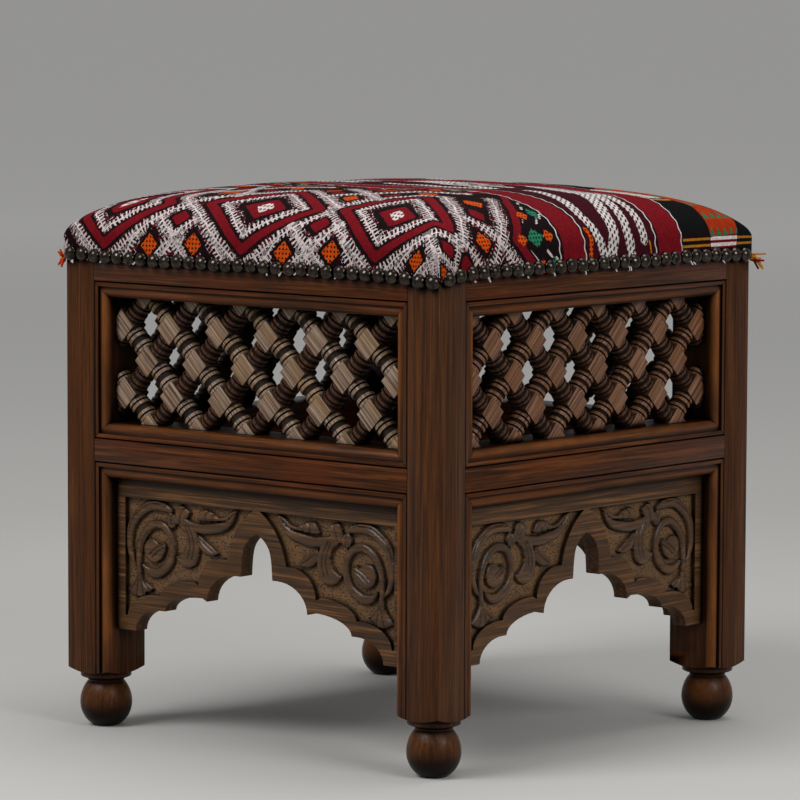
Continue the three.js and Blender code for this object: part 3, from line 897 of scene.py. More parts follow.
def to_segment(u, v, start, end):
    """How far points lie from a straight line, and the share of it before the nearest place."""
    (u0, v0), (u1, v1) = start, end
    du, dv = u1 - u0, v1 - v0
    share = np.clip(((u - u0) * du + (v - v0) * dv) / max(du * du + dv * dv, 1e-9), 0, 1)
    return np.hypot(u - u0 - share * du, v - v0 - share * dv), share


def along_line(x, z, points):
    """Distance to a smooth line, and the line's half width at the nearest place."""
    line = smoothed(points, 5)
    best = np.full(x.shape, 1e9)
    width = np.zeros(x.shape)
    for one, other in zip(line, line[1:]):
        distance, share = to_segment(x, z, one[:2], other[:2])
        width = np.where(distance < best, one[2] + share * (other[2] - one[2]), width)
        best = np.minimum(best, distance)
    return best, width


def inside_depth(x, z, outline):
    """How far inside a smooth closed outline a point lies, or below 0 outside it."""
    ring = smoothed([*outline, outline[0]], 4)
    inside = np.zeros(x.shape, bool)
    best = np.full(x.shape, 1e9)
    for one, other in zip(ring, ring[1:]):
        (x0, z0), (x1, z1) = one, other
        inside ^= ((z0 > z) != (z1 > z)) & (x < (x1 - x0) * (z - z0) / (z1 - z0 + 1e-12) + x0)
        best = np.minimum(best, to_segment(x, z, one, other)[0])
    return np.where(inside, best, -best)


def carved_height(x, z):
    height = np.zeros(x.shape)
    for outline in LEAVES:
        depth = inside_depth(x, z, outline)
        dome = 0.55 + 0.45 * np.sqrt(1 - (1 - np.clip(depth / ROUNDED, 0, 1)) ** 2)
        height = np.maximum(height, np.where(depth > 0, RELIEF * dome, 0))
    for points in SCROLLS:
        distance, width = along_line(x, z, points)
        dome = 0.4 + 0.6 * np.sqrt(1 - np.clip(distance / width, 0, 1) ** 2)
        height = np.maximum(height, np.where(distance < width, RELIEF * dome, 0))
    for points in VEINS:
        distance, width = along_line(x, z, points)
        height -= np.where(height > 0.5, GASH * np.clip(1 - distance / (width + 0.6), 0, 1), 0)
    return np.clip(height, 0, RELIEF)


print("height in the middle of a leaf:", carved_height(np.array([75.0]), np.array([160.0])))

# %% Cut the carved field out of the board
BORDER = 12.5
FIELD_SIDE, FIELD_TOP = 145.3, MIDDLE_RAIL_FLOOR - 15.5
WASTE_WIDE, WASTE_TALL, WASTE_CELL = 148, 110, 0.8


def waste_block():
    """The waste over the right half of the carving, its underside with the relief."""
    bpy.ops.object.select_all(action="DESELECT")
    bpy.ops.mesh.primitive_grid_add(x_subdivisions=round(WASTE_WIDE / WASTE_CELL),
                                    y_subdivisions=round(WASTE_TALL / WASTE_CELL), size=2 * MM)
    waste = bpy.context.object
    edit(waste)
    bpy.ops.transform.resize(value=(WASTE_WIDE / 2, WASTE_TALL / 2, 1))
    bpy.ops.transform.rotate(value=-QUARTER, orient_axis="X", center_override=(0, 0, 0))
    bpy.ops.transform.translate(value=((WASTE_WIDE / 2 + 2) * MM, 0, 143 * MM))
    leave_edit()
    places = places_of(waste)
    places[:, 1] = (INFILL + GROUND - HALF) * MM
    places[:, 1] -= carved_height(places[:, 0] / MM, places[:, 2] / MM) * MM
    waste.data.vertices.foreach_set("co", places.ravel())
    edit(waste)
    bpy.ops.mesh.extrude_region_move(TRANSFORM_OT_translate={"value": (0, -12 * MM, 0)})
    bpy.ops.transform.resize(value=(1, 0, 1), center_override=(0, (INFILL - 6 - HALF) * MM, 0))
    leave_edit(turn_out=True)
    return waste


border = [(x, z) for x, z in arch_half(BORDER) if z < FIELD_TOP]
waste = waste_block()
field = outlined("field", [*border, (FIELD_SIDE, PANEL_FOOT + BORDER), (FIELD_SIDE, FIELD_TOP),
                           (border[0][0], FIELD_TOP)], INFILL - 4, INFILL + 8)
modify(waste, "BOOLEAN", object=field, operation="INTERSECT", solver="EXACT")
print("faces of the waste over the carving:", len(waste.data.polygons))
for mirrored in (False, True):
    if mirrored:
        edit(waste)
        bpy.ops.transform.resize(value=(-1, 1, 1), center_override=(0, 0, 0))
        leave_edit(turn_out=True)
    modify(panel, "BOOLEAN", object=waste, operation="DIFFERENCE", solver="EXACT")
bpy.data.objects.remove(waste)
bpy.data.objects.remove(field)
smooth_edges(panel, angle=45)

# %% Wear on the panel, and one for each side
x, y, z = places_of(panel).T / MM
in_field = (np.abs(x) < FIELD_SIDE - 0.3) & (z < FIELD_TOP - 0.3)
store(panel, "raised", np.clip(1 - (y + HALF - INFILL) / GROUND, 0, 1))
store(panel, "carving", (in_field & (carved_height(np.abs(x), z) > 0.2)) * 1.0)
for turns, side in enumerate(SIDES):
    set_grain(panel, (0, 2, 1), (1.7 * turns, 0.23 * turns, 0))
    copy = turned_copy(panel, f"arch_panel_{side}_carved", turns)
    finish_piece(copy, carved_wood, [f"arch_panel_{side}"])
print("panel faces:", len(panel.data.polygons))
bpy.data.objects.remove(panel)

# %% [markdown]
# ## Seat board and pad
# The board closes the frame and carries the foam. Neither shows on the finished stool, but both are
# there, as they would be on the bench. The pad is foam under tension: a slightly smaller block is
# remeshed and inflated by a short cloth simulation, and held within a few millimetres of its cover.

# %% Plywood and foam
plywood, add, shader = new_material("bare_birch_plywood")
ply_place = add("Mapping", [add("TexCoord", out="Object"), None, None, (14.0, 160.0, 160.0)])
ply_figure = add("TexNoise", {"Vector": ply_place, "Scale": 1.0, "Detail": 3.0})
ply_colour = add("ValToRGB", [ply_figure], stops=((0.3, "#a9865a"), (0.7, "#c9a97c")))
fill(shader, {"Base Color": ply_colour, "Roughness": 0.75})
board_node = frame["nodes"]["seat_board"]
board_node.data.materials.clear()
board_node.data.materials.append(plywood)

foam, add, shader = new_material("yellowed_seat_foam")
# Open cells of about 1 mm.
cells = add("TexVoronoi", {"Vector": add("TexCoord", out="Object"), "Scale": 900.0}, "Distance")
foam_colour = add("ValToRGB", [cells], stops=((0.0, "#b3a678"), (0.6, "#dcd2a6")))
foam_bump = add("Bump", {"Strength": 0.5, "Distance": 0.0006, "Height": cells})
fill(shader, {"Base Color": foam_colour, "Normal": foam_bump, "Roughness": 0.95})
print("plywood and foam made")

# %% Foam pad
PAD_START = (0.965, 0.965, 0.82)
PAD_CAP = 2.5
FRAMES = 20


def make_pad():
    pad = merged_copy("seat_pad", "seat_pad_foam")
    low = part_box("seat_pad")[0]
    edit(pad)
    bpy.ops.transform.resize(value=PAD_START, center_override=(0, 0, low.z))
    leave_edit()
    modify(pad, "REMESH", mode="VOXEL", voxel_size=6 * MM)
    start = places_of(pad)
    cloth = pad.modifiers.new("foam_pressure", "CLOTH")
    cloth.settings.use_pressure = True
    cloth.settings.uniform_pressure_force = 4.0
    cloth.settings.effector_weights.gravity = 0.0
    for number in range(1, FRAMES + 1):
        bpy.context.scene.frame_set(number)
    swollen = pad.evaluated_get(bpy.context.evaluated_depsgraph_get())
    moved = places_of(swollen) - start
    pad.modifiers.clear()
    bpy.context.scene.frame_set(1)
    length = np.maximum(np.linalg.norm(moved, axis=1, keepdims=True), 1e-9)
    places = start + moved * np.minimum(1.0, PAD_CAP * MM / length)
    places[:, 2] = np.maximum(places[:, 2], low.z)
    pad.data.vertices.foreach_set("co", places.ravel())
    pad.data.update()
    modify(pad, "SUBSURF", levels=1, render_levels=1)
    pick(pad)
    bpy.ops.object.shade_smooth()
    return pad


pad = make_pad()
finish_piece(pad, foam, ["seat_pad"])
print("pad faces:", len(pad.data.polygons))

# %% [markdown]
# ## The kilim's form
# A flat woven kilim is drawn over the pad and nailed round the frame. It hardly
# stretches, so the cover is modelled as what it is: a flat square of cloth laid over
# the seat's form. Each point of the flat cloth keeps its distance from the middle
# along the cloth, and near the corners, where the real cloth is eased round, the
# spare width is taken up over the last centimetres.

# %% Cloth over the seat
SEAT_REACH, SEAT_EDGE, SEAT_RISE, HEM = 202.0, 405.0, 42.0, 386.5
share = np.linspace(0, 1, 4001)
crown = SEAT_EDGE + SEAT_RISE * np.clip(1 - share ** 6, 0, 1) ** 0.556
arc = np.concatenate([[0], np.cumsum(np.hypot(np.diff(share) * SEAT_REACH, np.diff(crown)))])
CLOTH = arc[-1] + SEAT_EDGE - HEM
NAIL_PITCH = 13.5
NAIL_HEIGHT = 389.6
CORNER_RADIUS = 2.3
HEM_PULL = 2.5
LUMP = 0.5
DIP_LEFT, DIP_RIGHT = 0.5, 3.5
print("flat cloth", round(2 * CLOTH, 1), "mm square")


def cloth_place(u, v):
    """Where a point of the flat cloth lies on the seat, in millimetres."""
    m = np.maximum(np.abs(u), np.abs(v))
    other = np.minimum(np.abs(u), np.abs(v))
    span = np.interp(m, arc, share * SEAT_REACH)
    width = np.maximum(span, 1e-9)
    height = np.where(m <= arc[-1], np.interp(m, arc, crown), SEAT_EDGE - (m - arc[-1]))
    # Halving the search finds the place along the side that takes up the spare width.
    low, high = np.zeros_like(other), span.copy()
    for _ in range(40):
        guess = (low + high) / 2
        short = guess + (m - span) * (guess / width) ** 8 < other
        low, high = np.where(short, guess, low), np.where(short, high, guess)
    along = (low + high) / 2
    # The ring's corner is rounded, more so towards the crown.
    radius = np.minimum(CORNER_RADIUS + 2 * (SEAT_REACH - span), 0.85 * span)
    straight = span - radius
    past = np.clip((along - straight) / np.maximum(radius, 1e-9), 0, 1)
    angle = past * QUARTER / 2
    round_along = np.where(past > 0, straight + radius * np.sin(angle), along)
    pull = HEM_PULL * span / SEAT_REACH * np.clip((height - HEM) / (SEAT_EDGE - HEM), 0, 1)
    main = straight + radius * np.cos(angle) - pull * np.clip(1 - (along / width) ** 2, 0, 1)
    # Pressed in under each nail and a little full between them.
    under = np.exp(-((height - NAIL_HEIGHT) / 9.0) ** 2) * (m > arc[-1] - 12)
    main = main + under * (0.5 - np.cos(2 * math.pi * along / NAIL_PITCH)) * 0.55
    first = np.abs(u) >= np.abs(v)
    x = np.sign(u) * np.where(first, main, round_along)
    y = np.sign(v) * np.where(first, round_along, main)
    lumps = np.sin(u / 31 + 1.3) * np.sin(v / 27 + 0.4) + 0.6 * np.sin(u / 17 - v / 23)
    height = height + LUMP * lumps * np.clip((height - 400) / 30, 0, 1)
    # The corners hold less padding, so the crown dips towards them, least on the left.
    cornering = (other / np.maximum(m, 1e-9)) ** 5 * np.clip((m - 110) / 90, 0, 1)
    dip = np.where(u < 0, DIP_LEFT, DIP_RIGHT)
    return x, y, height - dip * cornering * np.clip((height - 398) / 22, 0, 1)


# %% [markdown]
# ## The kilim's pattern
# The cloth is a Berber flat weave: crimson outlined diamonds on a black ground, white
# brocaded twigs between them, and bands of plain crimson, zigzags, blocks and checks
# towards the back. It is a traditional pattern, drawn here stripe by stripe in the
# flat cloth's own millimetres. Python works out how far each point of the cloth lies
# from each kind of figure, and stores those distances as attributes. The material
# then decides thread by thread which yarn shows.

# %% Distances to figures
FAR = 1e3


def to_diamonds(u, v, places, half_u, half_v):
    """Signed distance to the nearest of some diamonds, below 0 inside."""
    scale = half_u * half_v / math.hypot(half_u, half_v)
    return np.minimum.reduce([
        (np.abs(u - at_u) / half_u + np.abs(v - at_v) / half_v - 1) * scale
        for at_u, at_v in places])


def to_boxes(u, v, boxes):
    """Signed distance to the nearest of some boxes (u0, u1, v0, v1)."""
    return np.minimum.reduce([
        np.maximum(np.abs(u - (u0 + u1) / 2) - (u1 - u0) / 2,
                   np.abs(v - (v0 + v1) / 2) - (v1 - v0) / 2) for u0, u1, v0, v1 in boxes])


def to_lines(u, v, lines):
    """Distance to the nearest of some lines, the same with the side's sign, and the place along."""
    best = np.full(u.shape, FAR)
    signed = np.full(u.shape, FAR)
    place = np.zeros(u.shape)
    for (u0, v0), (u1, v1) in lines:
        length = math.hypot(u1 - u0, v1 - v0)
        distance, share = to_segment(u, v, (u0, v0), (u1, v1))
        nearer = distance < best
        side = ((u - u0) * (v1 - v0) - (v - v0) * (u1 - u0)) / length
        signed = np.where(nearer, side, signed)
        place = np.where(nearer, share * length, place)
        best = np.where(nearer, distance, best)
    return best, signed, place


def diamond_lines(cu, cv, half_u, half_v):
    corners = [(cu + half_u, cv), (cu, cv + half_v), (cu - half_u, cv), (cu, cv - half_v)]
    return list(zip(corners, corners[1:] + corners[:1]))


print("lines round a diamond:", len(diamond_lines(0, 0, 1, 1)))

# %% Where the figures stand on the cloth
ROW = -181.0
CENTRES = [(-297, ROW), (-154, ROW - 2), (1, ROW), (141, ROW), (287, ROW)]
MIDDLES = [-225.0, -76.5, 71.0, 214.0]
WIDE, TALL = 58.0, 45.0
# Strokes beside each diamond, from and to, in its half widths and half heights.
OUTLINE_STROKES = (((0, 2.85), (1.27, 1.58)),)
TWIG_STROKES = (((0.25, 2.15), (1.9, 0.5)), ((1.65, -0.48), (0.9, -1.23)),
                ((1.47, -0.7), (1.02, -1.35)), ((0.62, -0.8), (0.36, -1.25)))
# Single white stitches between the diamonds: how far beside the middle, and how high.
STITCHES = ((10, -96), (12, -74), (16, -90), (32, -72), (34, -88), (18, -64), (42, -64))
# Zigzag strokes that lean together in pairs, each a run of points and a half width.
ZIGZAGS = (([(120, 8), (171, -5), (194, -12), (213, -8), (236, -0.5)], 4.8),
           ([(100, 60), (120, 50), (171, 31), (194, 19), (213, 14.5), (236, 5)], 6.0),
           ([(115, 58), (171, 45), (194, 38), (213, 32), (236, 33)], 5.2),
           ([(130, 62), (165, 58), (194, 55), (213, 52), (223, 51)], 4.5))
EDGE = 300
BLOCK_STEP = 75
# How far away a figure is put where it is cut off. The cut falls between two points of the
# mesh, nearer to the one outside where this is less.
TWIG_OFF, OUTLINE_OFF, ZIGZAG_OFF = 20.0, 50.0, 30.0


def beside(*offsets):
    """Places at the same offsets from the middle between each two diamonds."""
    return [(middle + aside, at) for middle in MIDDLES for aside, at in offsets]


def blocks(u0, u1, low, high, steps):
    """The boxes of a row of blocks, one at each step along the cloth."""
    return [(u0 + step * BLOCK_STEP, u1 + step * BLOCK_STEP, low, high) for step in steps]


def kilim_fields(u, v):
    """Distances from each point of the cloth to each kind of figure, by name."""
    # The cloth was nailed on a little askew of its middle, and its rows aren't straight.
    u, v = (u + 5 + 1.5 * np.sin(v / 19 + u / 47), v - 4.5 + 1.5 * np.sin(u / 23 + 0.7))
    twigs, outlines = [], []
    for cu, cv in CENTRES:
        twigs += diamond_lines(cu, cv, 0.73 * WIDE, 0.74 * TALL)
        twigs += diamond_lines(cu, cv, 1.36 * WIDE, 1.36 * TALL)
        outlines += diamond_lines(cu, cv, WIDE, TALL)
        for side in (1, -1):
            for lines, strokes in ((outlines, OUTLINE_STROKES), (twigs, TWIG_STROKES)):
                lines += [[(cu + side * a * WIDE, cv + b * TALL) for a, b in stroke]
                          for stroke in strokes]
    twigs += [((-246, -188), (-206, -238)), ((-212, -190), (-252, -238))]
    twig, twig_side, twig_along = to_lines(u, v, twigs)
    outline = np.where(v > -56, OUTLINE_OFF, to_lines(u, v, outlines)[0] - 3.9)
    hearts = [(cu + 3, cv - 1.5) for cu, cv in CENTRES]
    solid = to_diamonds(u, v, hearts, 0.39 * WIDE, 0.34 * TALL)
    small = to_diamonds(u, v, beside((3, -202), (-30, -132), (30, -132)), 10, 8.5)
    bands = to_boxes(u, v, [(-EDGE, EDGE, -54, -27), (-EDGE, EDGE, 69, 100)])
    orange = np.minimum.reduce([
        to_diamonds(u, v, [(m + d, -226) for m in MIDDLES[1:] for d in (-25, 24)]
                    + beside((0, -151), (-50, -115), (50, -115)), 9.5, 9.5),
        to_diamonds(u, v, beside((0, -102), (0, -69), (-24, -81), (24, -81)), 6, 7),
        # A loose orange end of brocading yarn beside the zigzags.
        to_lines(u, v, [((209, -19), (216, -16)), ((216, -16), (232, -20))])[0] - 2.2])
    green = np.minimum(to_diamonds(u, v, beside((0, -85)), 9, 10),
                       to_diamonds(u, v, beside((-25, -66), (25, -66)), 8, 6))
    # Nothing of the twigs runs over the outlines, the solid diamonds or past the zigzag.
    above = np.minimum.reduce([np.abs(u - cu) / WIDE + (v - cv) / TALL for cu, cv in CENTRES])
    shut = (np.minimum.reduce([outline, solid, small]) < 1.5) | (above > 2.75) | (v > -60)
    twig = np.where(shut | (orange < 2), TWIG_OFF, twig)
    stitches = [((m + side * at, low), (m + side * (at + 5), low + 5))
                for m in MIDDLES for side in (1, -1) for at, low in STITCHES]
    stitch = np.where(above < 3.0, TWIG_OFF, to_lines(u, v, stitches)[0] - 1.3)
    zigzag = np.minimum.reduce([
        to_lines(u, v, [((a + shift, b), (c + shift, d)) for shift in (-450, -300, -150, 0)
                        for (a, b), (c, d) in zip(path, path[1:])])[0] - half_width
        for path, half_width in ZIGZAGS])
    zigzag = np.where((v < -19) | (v > 63), ZIGZAG_OFF, zigzag)
    return {
        "twig": twig, "twig_side": twig_side, "twig_along": twig_along,
        "crimson": np.minimum.reduce([outline, solid, small, bands]),
        "orange": orange, "green": green, "white": stitch,
        "motif": to_diamonds(u, v, hearts, 9.5, 8.5),
        "zigzag": np.minimum(zigzag, to_boxes(u, v, blocks(146, 173, 104, 138, range(-5, 1)))),
        "black": to_boxes(u, v, blocks(179, 216, 102, 139, range(-5, 3))
                          + [(-EDGE, EDGE, 183, EDGE)]),
        "gold": to_boxes(u, v, [(-EDGE, EDGE, 102, 139), (-EDGE, EDGE, 183, 216)]),
        "gold_post": to_boxes(u, v, blocks(174.5, 177.5, 102, 139, range(-5, 3))
                              + [(222, 236, 57, 59.5)]),
        "pale_bars": to_boxes(u, v, [(223, 234, 140, 182), (-224, -213, 140, 182)]),
        "checks": to_boxes(u, v, [(-213, 223, 140, 182)]),
    }


FIGURES = tuple(kilim_fields(np.zeros(1), np.zeros(1)))
print("kinds of figure:", len(FIGURES))

# %% Cover mesh
CELL = 2.5
KILIM_THICK = 1.5


def make_cover():
    bpy.ops.object.select_all(action="DESELECT")
    count = round(2 * CLOTH / CELL)
    bpy.ops.mesh.primitive_grid_add(x_subdivisions=count, y_subdivisions=count,
                                    size=2 * CLOTH * MM, calc_uvs=True)
    cover = bpy.context.object
    cover.name = cover.data.name = "seat_cover_kilim"
    flat = places_of(cover)
    u, v = flat[:, 0] / MM, flat[:, 1] / MM
    for name, values in kilim_fields(u, v).items():
        store(cover, name, values)
    store(cover, "cloth", flat)
    cover.data.vertices.foreach_set("co", (np.stack(cloth_place(u, v), 1) * MM).ravel())
    cover.data.update()
    modify(cover, "SOLIDIFY", thickness=KILIM_THICK * MM, offset=-1)
    pick(cover)
    bpy.ops.object.shade_smooth()
    return cover


cover = make_cover()
print("cover faces:", len(cover.data.polygons))

# %% [markdown]
# The yarn is wool, with no gloss to speak of. The material snaps the cloth to single
# crossings of warp and weft and draws one random number for each, so the figures get
# ragged edges and the yarns differ a little, as hand-dyed ones do. The steps of its
# arithmetic are written as lines of words, since each is one Math node.

# %% Threads and distances
kilim, add, shader = new_material("flat_woven_wool_kilim")
# A weft row and a warp are 1.7 mm wide here, a little coarser than the real 1.3 mm.
THREAD = 1.7
cloth = add("Attribute", out="Vector", attribute_name="cloth")
millimetres = add("VectorMath", {0: cloth, "Scale": 1000.0}, operation="SCALE")
cell = add("VectorMath", {0: millimetres, 1: (THREAD, THREAD, 1000.0)}, operation="SNAP")
flat = add("SeparateXYZ", [millimetres], out=None).outputs
chance = add("TexWhiteNoise", {"Vector": cell}, "Value", noise_dimensions="3D")
fields = {name: add("Attribute", out="Fac", attribute_name=name) for name in FIGURES}
fields.update({
    "u": flat[0], "v": flat[1], "chance": chance,
    "ragged": add("Math", [chance, 1.7, -0.85], operation="MULTIPLY_ADD"),
    # A hand-counted figure wanders by a yarn or two every few centimetres.
    "wander": add("TexNoise", {"Vector": millimetres, "Scale": 0.09, "Detail": 1.0})})


def work_out(steps):
    """Each line names a value and gives one Math node: an operation and its inputs."""
    for line in steps.strip().splitlines():
        name, operation, *words = line.split()
        values = [fields[word] if word in fields else float(word) for word in words]
        fields[name] = add("Math", values, operation=operation)


# Which threads lie inside each figure, some with ragged edges.
for figure, frayed in (("crimson", 0.6), ("orange", 0.6), ("green", 0.6), ("zigzag", 0.8),
                       ("white", 0), ("motif", 0), ("black", 0), ("gold", 0), ("gold_post", 0),
                       ("pale_bars", 0), ("checks", 0)):
    work_out(f"""
    {figure}_frayed MULTIPLY_ADD ragged {frayed} {figure}
    {figure}_in LESS_THAN {figure}_frayed 0.0""")
print("figures read:", len(fields))

# %% Which yarn shows
# Twigs: a spine with short dashes across it, and loose stitches and specks beside it.
work_out("""
drift SUBTRACT wander 0.5
side_bent MULTIPLY_ADD drift 5.0 twig_side
spine COMPARE side_bent 0.0 0.7
near_spine LESS_THAN twig 3.0
spine_on MULTIPLY spine near_spine
twig_bent MULTIPLY_ADD drift 7.0 twig
twig_frayed ADD twig_bent ragged
reach LESS_THAN twig_frayed 5.2
dash_bent MULTIPLY_ADD chance 0.35 twig_along
dash_far MULTIPLY_ADD drift 5.0 dash_bent
dash_step PINGPONG dash_far 2.0
dash LESS_THAN dash_step 0.78
dash_on MULTIPLY dash reach
twig_on MAXIMUM spine_on dash_on
cross_a ADD u v
cross_b SUBTRACT u v
cross_c PINGPONG cross_a 2.6
cross_d PINGPONG cross_b 2.6
cross_e MINIMUM cross_c cross_d
cross LESS_THAN cross_e 0.45
cross_kept LESS_THAN chance 0.4
cross_near LESS_THAN twig_frayed 8.0
cross_off GREATER_THAN crimson 3.5
stitch MULTIPLY cross cross_kept
stitch_near MULTIPLY cross_near cross_off
stitch_on MULTIPLY stitch stitch_near
speck_cut GREATER_THAN chance 0.84
speck_near LESS_THAN twig 9.0
speck_on MULTIPLY speck_cut speck_near
""")
# Small diamonds with holes, and the brocaded hearts and zigzags with their short floats.
work_out("""
check_u PINGPONG u 1.8
check_v PINGPONG v 1.8
check_sum ADD check_u check_v
not_hole GREATER_THAN check_sum 1.2
orange_on MULTIPLY orange_in not_hole
green_on MULTIPLY green_in not_hole
motif_u PINGPONG u 2.0
motif_v PINGPONG v 2.6
motif_sum ADD motif_u motif_v
motif_dash GREATER_THAN motif_sum 1.6
motif_on MULTIPLY motif_in motif_dash
slant MULTIPLY_ADD v 0.7 u
slant_step PINGPONG slant 2.6
slant_v PINGPONG v 2.1
slant_sum ADD slant_step slant_v
slant_dash GREATER_THAN slant_sum 1.75
zigzag_on MULTIPLY zigzag_in slant_dash
""")
# Two bars at each end of the checks, and the rows of triangles between them.
work_out("""
across ABSOLUTE u
bar_from SUBTRACT across 222.1
bar_off ABSOLUTE bar_from
bar_wide COMPARE bar_off 2.7 1.5
bar_thin COMPARE bar_off 2.7 1.05
gold_bar MULTIPLY gold_in bar_thin
gold_on MAXIMUM gold_bar gold_post_in
pale_on MULTIPLY pale_bars_in bar_wide
row_from SUBTRACT across 217.5
row FLOORED_MODULO row_from 17.0
row_step PINGPONG v 4.8
row_sum MULTIPLY_ADD row 0.46 row_step
triangle GREATER_THAN row_sum 8.92
triangle_on MULTIPLY triangle checks_in
""")
# Thin white lines between the bands, and the maroon ground between two of them.
work_out("""
wave_a MULTIPLY u 0.55
wave_b SINE wave_a
wave MULTIPLY_ADD wave_b 0.6 v
line_on COMPARE wave -52.5 0.65
maroon COMPARE v 26.0 44.0
""")
for height in (-20.5, 71.0, 105.5):
    work_out(f"""
    another COMPARE wave {height} 0.65
    line_on MAXIMUM line_on another""")
print("values worked out:", len(fields))

# %% Dyes and weave
yarns = add("Mix", {0: fields["maroon"], 6: linear("#180b0e"), 7: linear("#3d0c14")}, 2,
            data_type="RGBA")
for mask, yarn in (
        ("speck_on", "#6a1420"), ("stitch_on", "#dccfcd"), ("checks_in", "#a8340f"),
        ("triangle_on", "#2c7452"), ("crimson_in", "#78101a"), ("black_in", "#0e0f10"),
        ("pale_bars_in", "#78101a"), ("twig_on", "#dccfcd"), ("orange_on", "#d8530f"),
        ("green_on", "#2a8060"), ("motif_on", "#dccfcd"), ("zigzag_on", "#dcd5d2"),
        ("white_in", "#dccfcd"), ("pale_on", "#e8e0dc"), ("gold_on", "#bd7a22"),
        ("line_on", "#dcd2d0")):
    yarns = add("Mix", {0: fields[mask], 6: yarns, 7: linear(yarn)}, 2, data_type="RGBA")
tone = add("MapRange", [chance, 0.0, 1.0, 0.78, 1.12])
woven = add("Mix", {0: 1.0, 6: yarns, 7: tone}, 2, data_type="RGBA", blend_type="MULTIPLY")
# The ribs of the weave, and the brocaded yarns that lie on top of it.
ribs = round(2 * math.pi / THREAD, 3)
work_out(f"""
rib_u MULTIPLY u {ribs}
rib_v MULTIPLY v {ribs}
rib_a SINE rib_u
rib_b SINE rib_v
rib MULTIPLY rib_a rib_b
raised_a MULTIPLY_ADD twig_on 0.9 rib
raised_b MULTIPLY_ADD zigzag_on 0.9 raised_a
raised_c MULTIPLY_ADD motif_on 0.9 raised_b
""")
weave = add("Bump", {"Strength": 0.7, "Distance": 0.0005, "Height": fields["raised_c"]})
fill(shader, {"Base Color": woven, "Normal": weave, "Roughness": 0.9, "Specular IOR Level": 0.06})
finish_piece(cover, kilim, ["seat_cover"])
print("ribs a millimetre:", ribs)

# %% [markdown]
# ## Upholstery nails
# Domed nails, 13 mm across and set edge to edge, hold the hem. They are brass under
# an antique lacquer, dark in the flats with small bright glints, and no two sit quite
# alike because each was driven by hand.

# %% Nails
bronze, add, shader = new_material("antiqued_brass_nails")
patina = add("TexNoise", {"Vector": add("TexCoord", out="Object"), "Scale": 260.0, "Detail": 3.0})
fill(shader, {
    "Base Color": add("ValToRGB", [patina], stops=((0.3, "#1e1b19"), (0.7, "#4f473f"))),
    "Roughness": add("MapRange", [patina, 0.3, 0.7, 0.24, 0.12]), "Metallic": 1.0})

random = np.random.default_rng(11)
head = spun("nail_head", [(0, 5.6), (2.5, 5.1), (4.6, 3.8), (6.0, 1.8), (6.4, 0.1), (5.9, -0.6),
                          (0, -0.6)], 0, 0, sides=12)
head.rotation_euler = (QUARTER, 0, 0)
settle(head)
smooth_edges(head, angle=60)
# The rows weren't driven alike: each has its ends along the side, its count of nails and
# the rises (place, how much higher the nails stand there).
ROWS = {
    "front": (-191.5, 195.3, 30, ((-192, 2.6), (-150, 0.0), (110, 0.0), (150, -1.4), (196, -4.2))),
    "right": (-191.8, 189.5, 29, ((-192, -1.2), (-165, 1.7), (150, 1.7), (190, 0.0))),
    "back": (-189.5, 189.5, 29, ((0, 0.8),)),
    "left": (-189.5, 189.5, 29, ((0, 0.8),)),
}
for turns, (side, (first, last, count, rises)) in enumerate(ROWS.items()):
    row = []
    for along in np.linspace(first, last, count):
        nail = copied(head, "nail")
        height = NAIL_HEIGHT + np.interp(along, *zip(*rises)) + random.uniform(-0.6, 0.6)
        nail.location = ((along + random.uniform(-0.4, 0.4)) * MM, -(SEAT_REACH + 0.1) * MM,
                         height * MM)
        nail.rotation_euler = (random.uniform(-0.1, 0.1), random.uniform(0, 3),
                               random.uniform(-0.1, 0.1))
        settle(nail)
        row.append(nail)
    nails = join(f"cover_nails_{side}", row)
    nails.rotation_euler = (0, 0, turns * QUARTER)
    settle(nails)
    finish_piece(nails, bronze, [])
bpy.data.objects.remove(head)
print("nails:", sum(count for _, _, count, _ in ROWS.values()))

# %% [markdown]
# ## Cut ends of yarn
# The kilim was cut to size, so its yarns fray under the nails: short white, crimson
# and black ends all along, and a tuft of orange and gold ones at two of the corners.
# Each end is drawn as a line of points, given the yarn's thickness as a curve and
# turned back into a mesh.

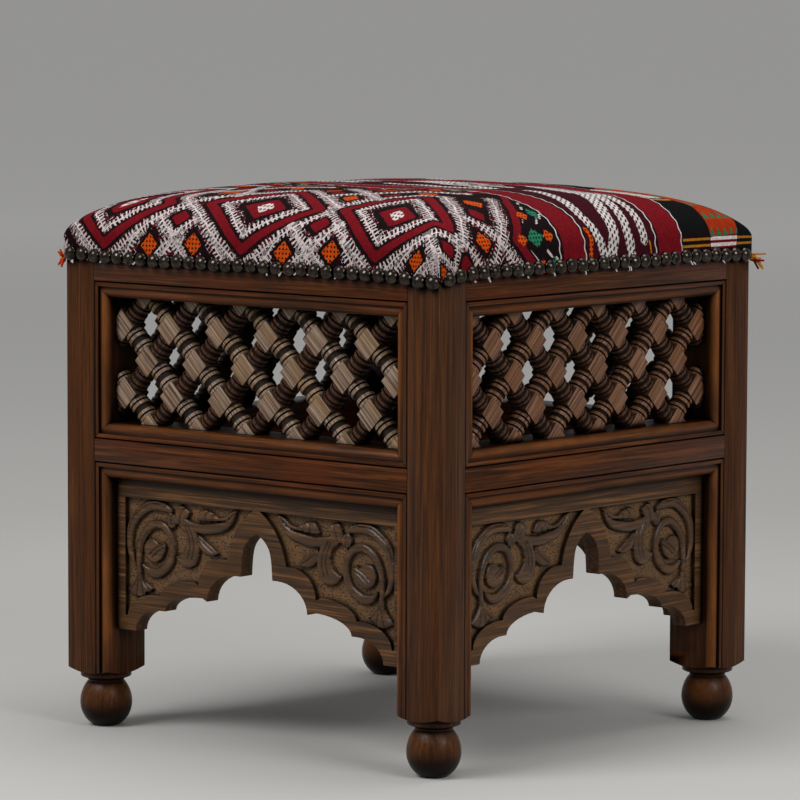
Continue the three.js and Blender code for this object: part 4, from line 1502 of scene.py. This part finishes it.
# %% Yarn ends
yarn, add, shader = new_material("cut_wool_yarn_ends")
dyes = add("ValToRGB", [add("Attribute", out="Fac", attribute_name="dye")], None, stops=(
    (0.0, "#dccfcd"), (0.9, "#bd7a22"), (0.3, "#78101a"), (0.5, "#180b0e"), (0.7, "#c8440c")))
dyes.color_ramp.interpolation = "CONSTANT"
fill(shader, {"Base Color": dyes.outputs[0], "Roughness": 0.95, "Specular IOR Level": 0.06})
DYES = {"white": 0.1, "crimson": 0.4, "black": 0.6, "orange": 0.8, "gold": 0.95}
ENDS_A_SIDE, END_THICK = 20, 1.3
TUFT_STRANDS, TUFT_THICK = 13, 1.8
# The corners with a tuft: how far out its strands stand, how far they fall, and its dyes.
TUFTS = {0: ((2.0, 6.0), (-7.0, 8.0), ["orange", "orange", "gold", "crimson"]),
         2: ((6.0, 13.0), (-1.0, 9.0), ["orange", "gold", "gold", "crimson"])}


def yarn_end(points, turns, thickness, dye_name):
    """One yarn through the points (x, y, z) in millimetres, turned to its side."""
    turn = Matrix.Rotation(turns * QUARTER, 3, "Z")
    end = drawn("yarn_end", [turn @ Vector(point) for point in points])
    leave_edit()
    bpy.ops.object.convert(target="CURVE")
    end.data.bevel_depth = thickness / 2 * MM
    end.data.bevel_resolution = 1
    end.data.use_fill_caps = True
    bpy.ops.object.convert(target="MESH")
    settle(end)
    store(end, "dye", DYES[dye_name])
    return end


ends = []
for turns in range(len(SIDES)):
    for _ in range(ENDS_A_SIDE):
        along = random.uniform(-192, 192)
        drop = random.uniform(0.3, 3.0)
        lean = random.uniform(-2.0, 2.0)
        places = [(along, -SEAT_REACH + 0.5, HEM + 2.5),
                  (along + 0.3 * lean, -SEAT_REACH - 1.8, HEM - 0.3 * drop),
                  (along + lean, -SEAT_REACH - 2.6, HEM - drop)]
        dye_name = random.choice(["white", "white", "white", "crimson", "black"])
        ends.append(yarn_end(places, turns, END_THICK, dye_name))
    if turns not in TUFTS:
        continue
    stand, fall, colours = TUFTS[turns]
    for strand in range(TUFT_STRANDS):
        out, down = random.uniform(*stand), random.uniform(*fall)
        aside = random.uniform(-3.5, 3.5)
        root, base = SEAT_REACH - 1.5, HEM + 3 - 0.4 * strand
        places = [(-root - share * out / 1.4 + share * aside,
                   -root - share * out / 1.4 - share * aside,
                   base - share ** 2 * down) for share in (0.0, 0.5, 1.0)]
        ends.append(yarn_end(places, turns, TUFT_THICK, random.choice(colours)))
ends = join("cover_yarn_ends", ends)
finish_piece(ends, yarn, [])
print("yarn ends: faces", len(ends.data.polygons))
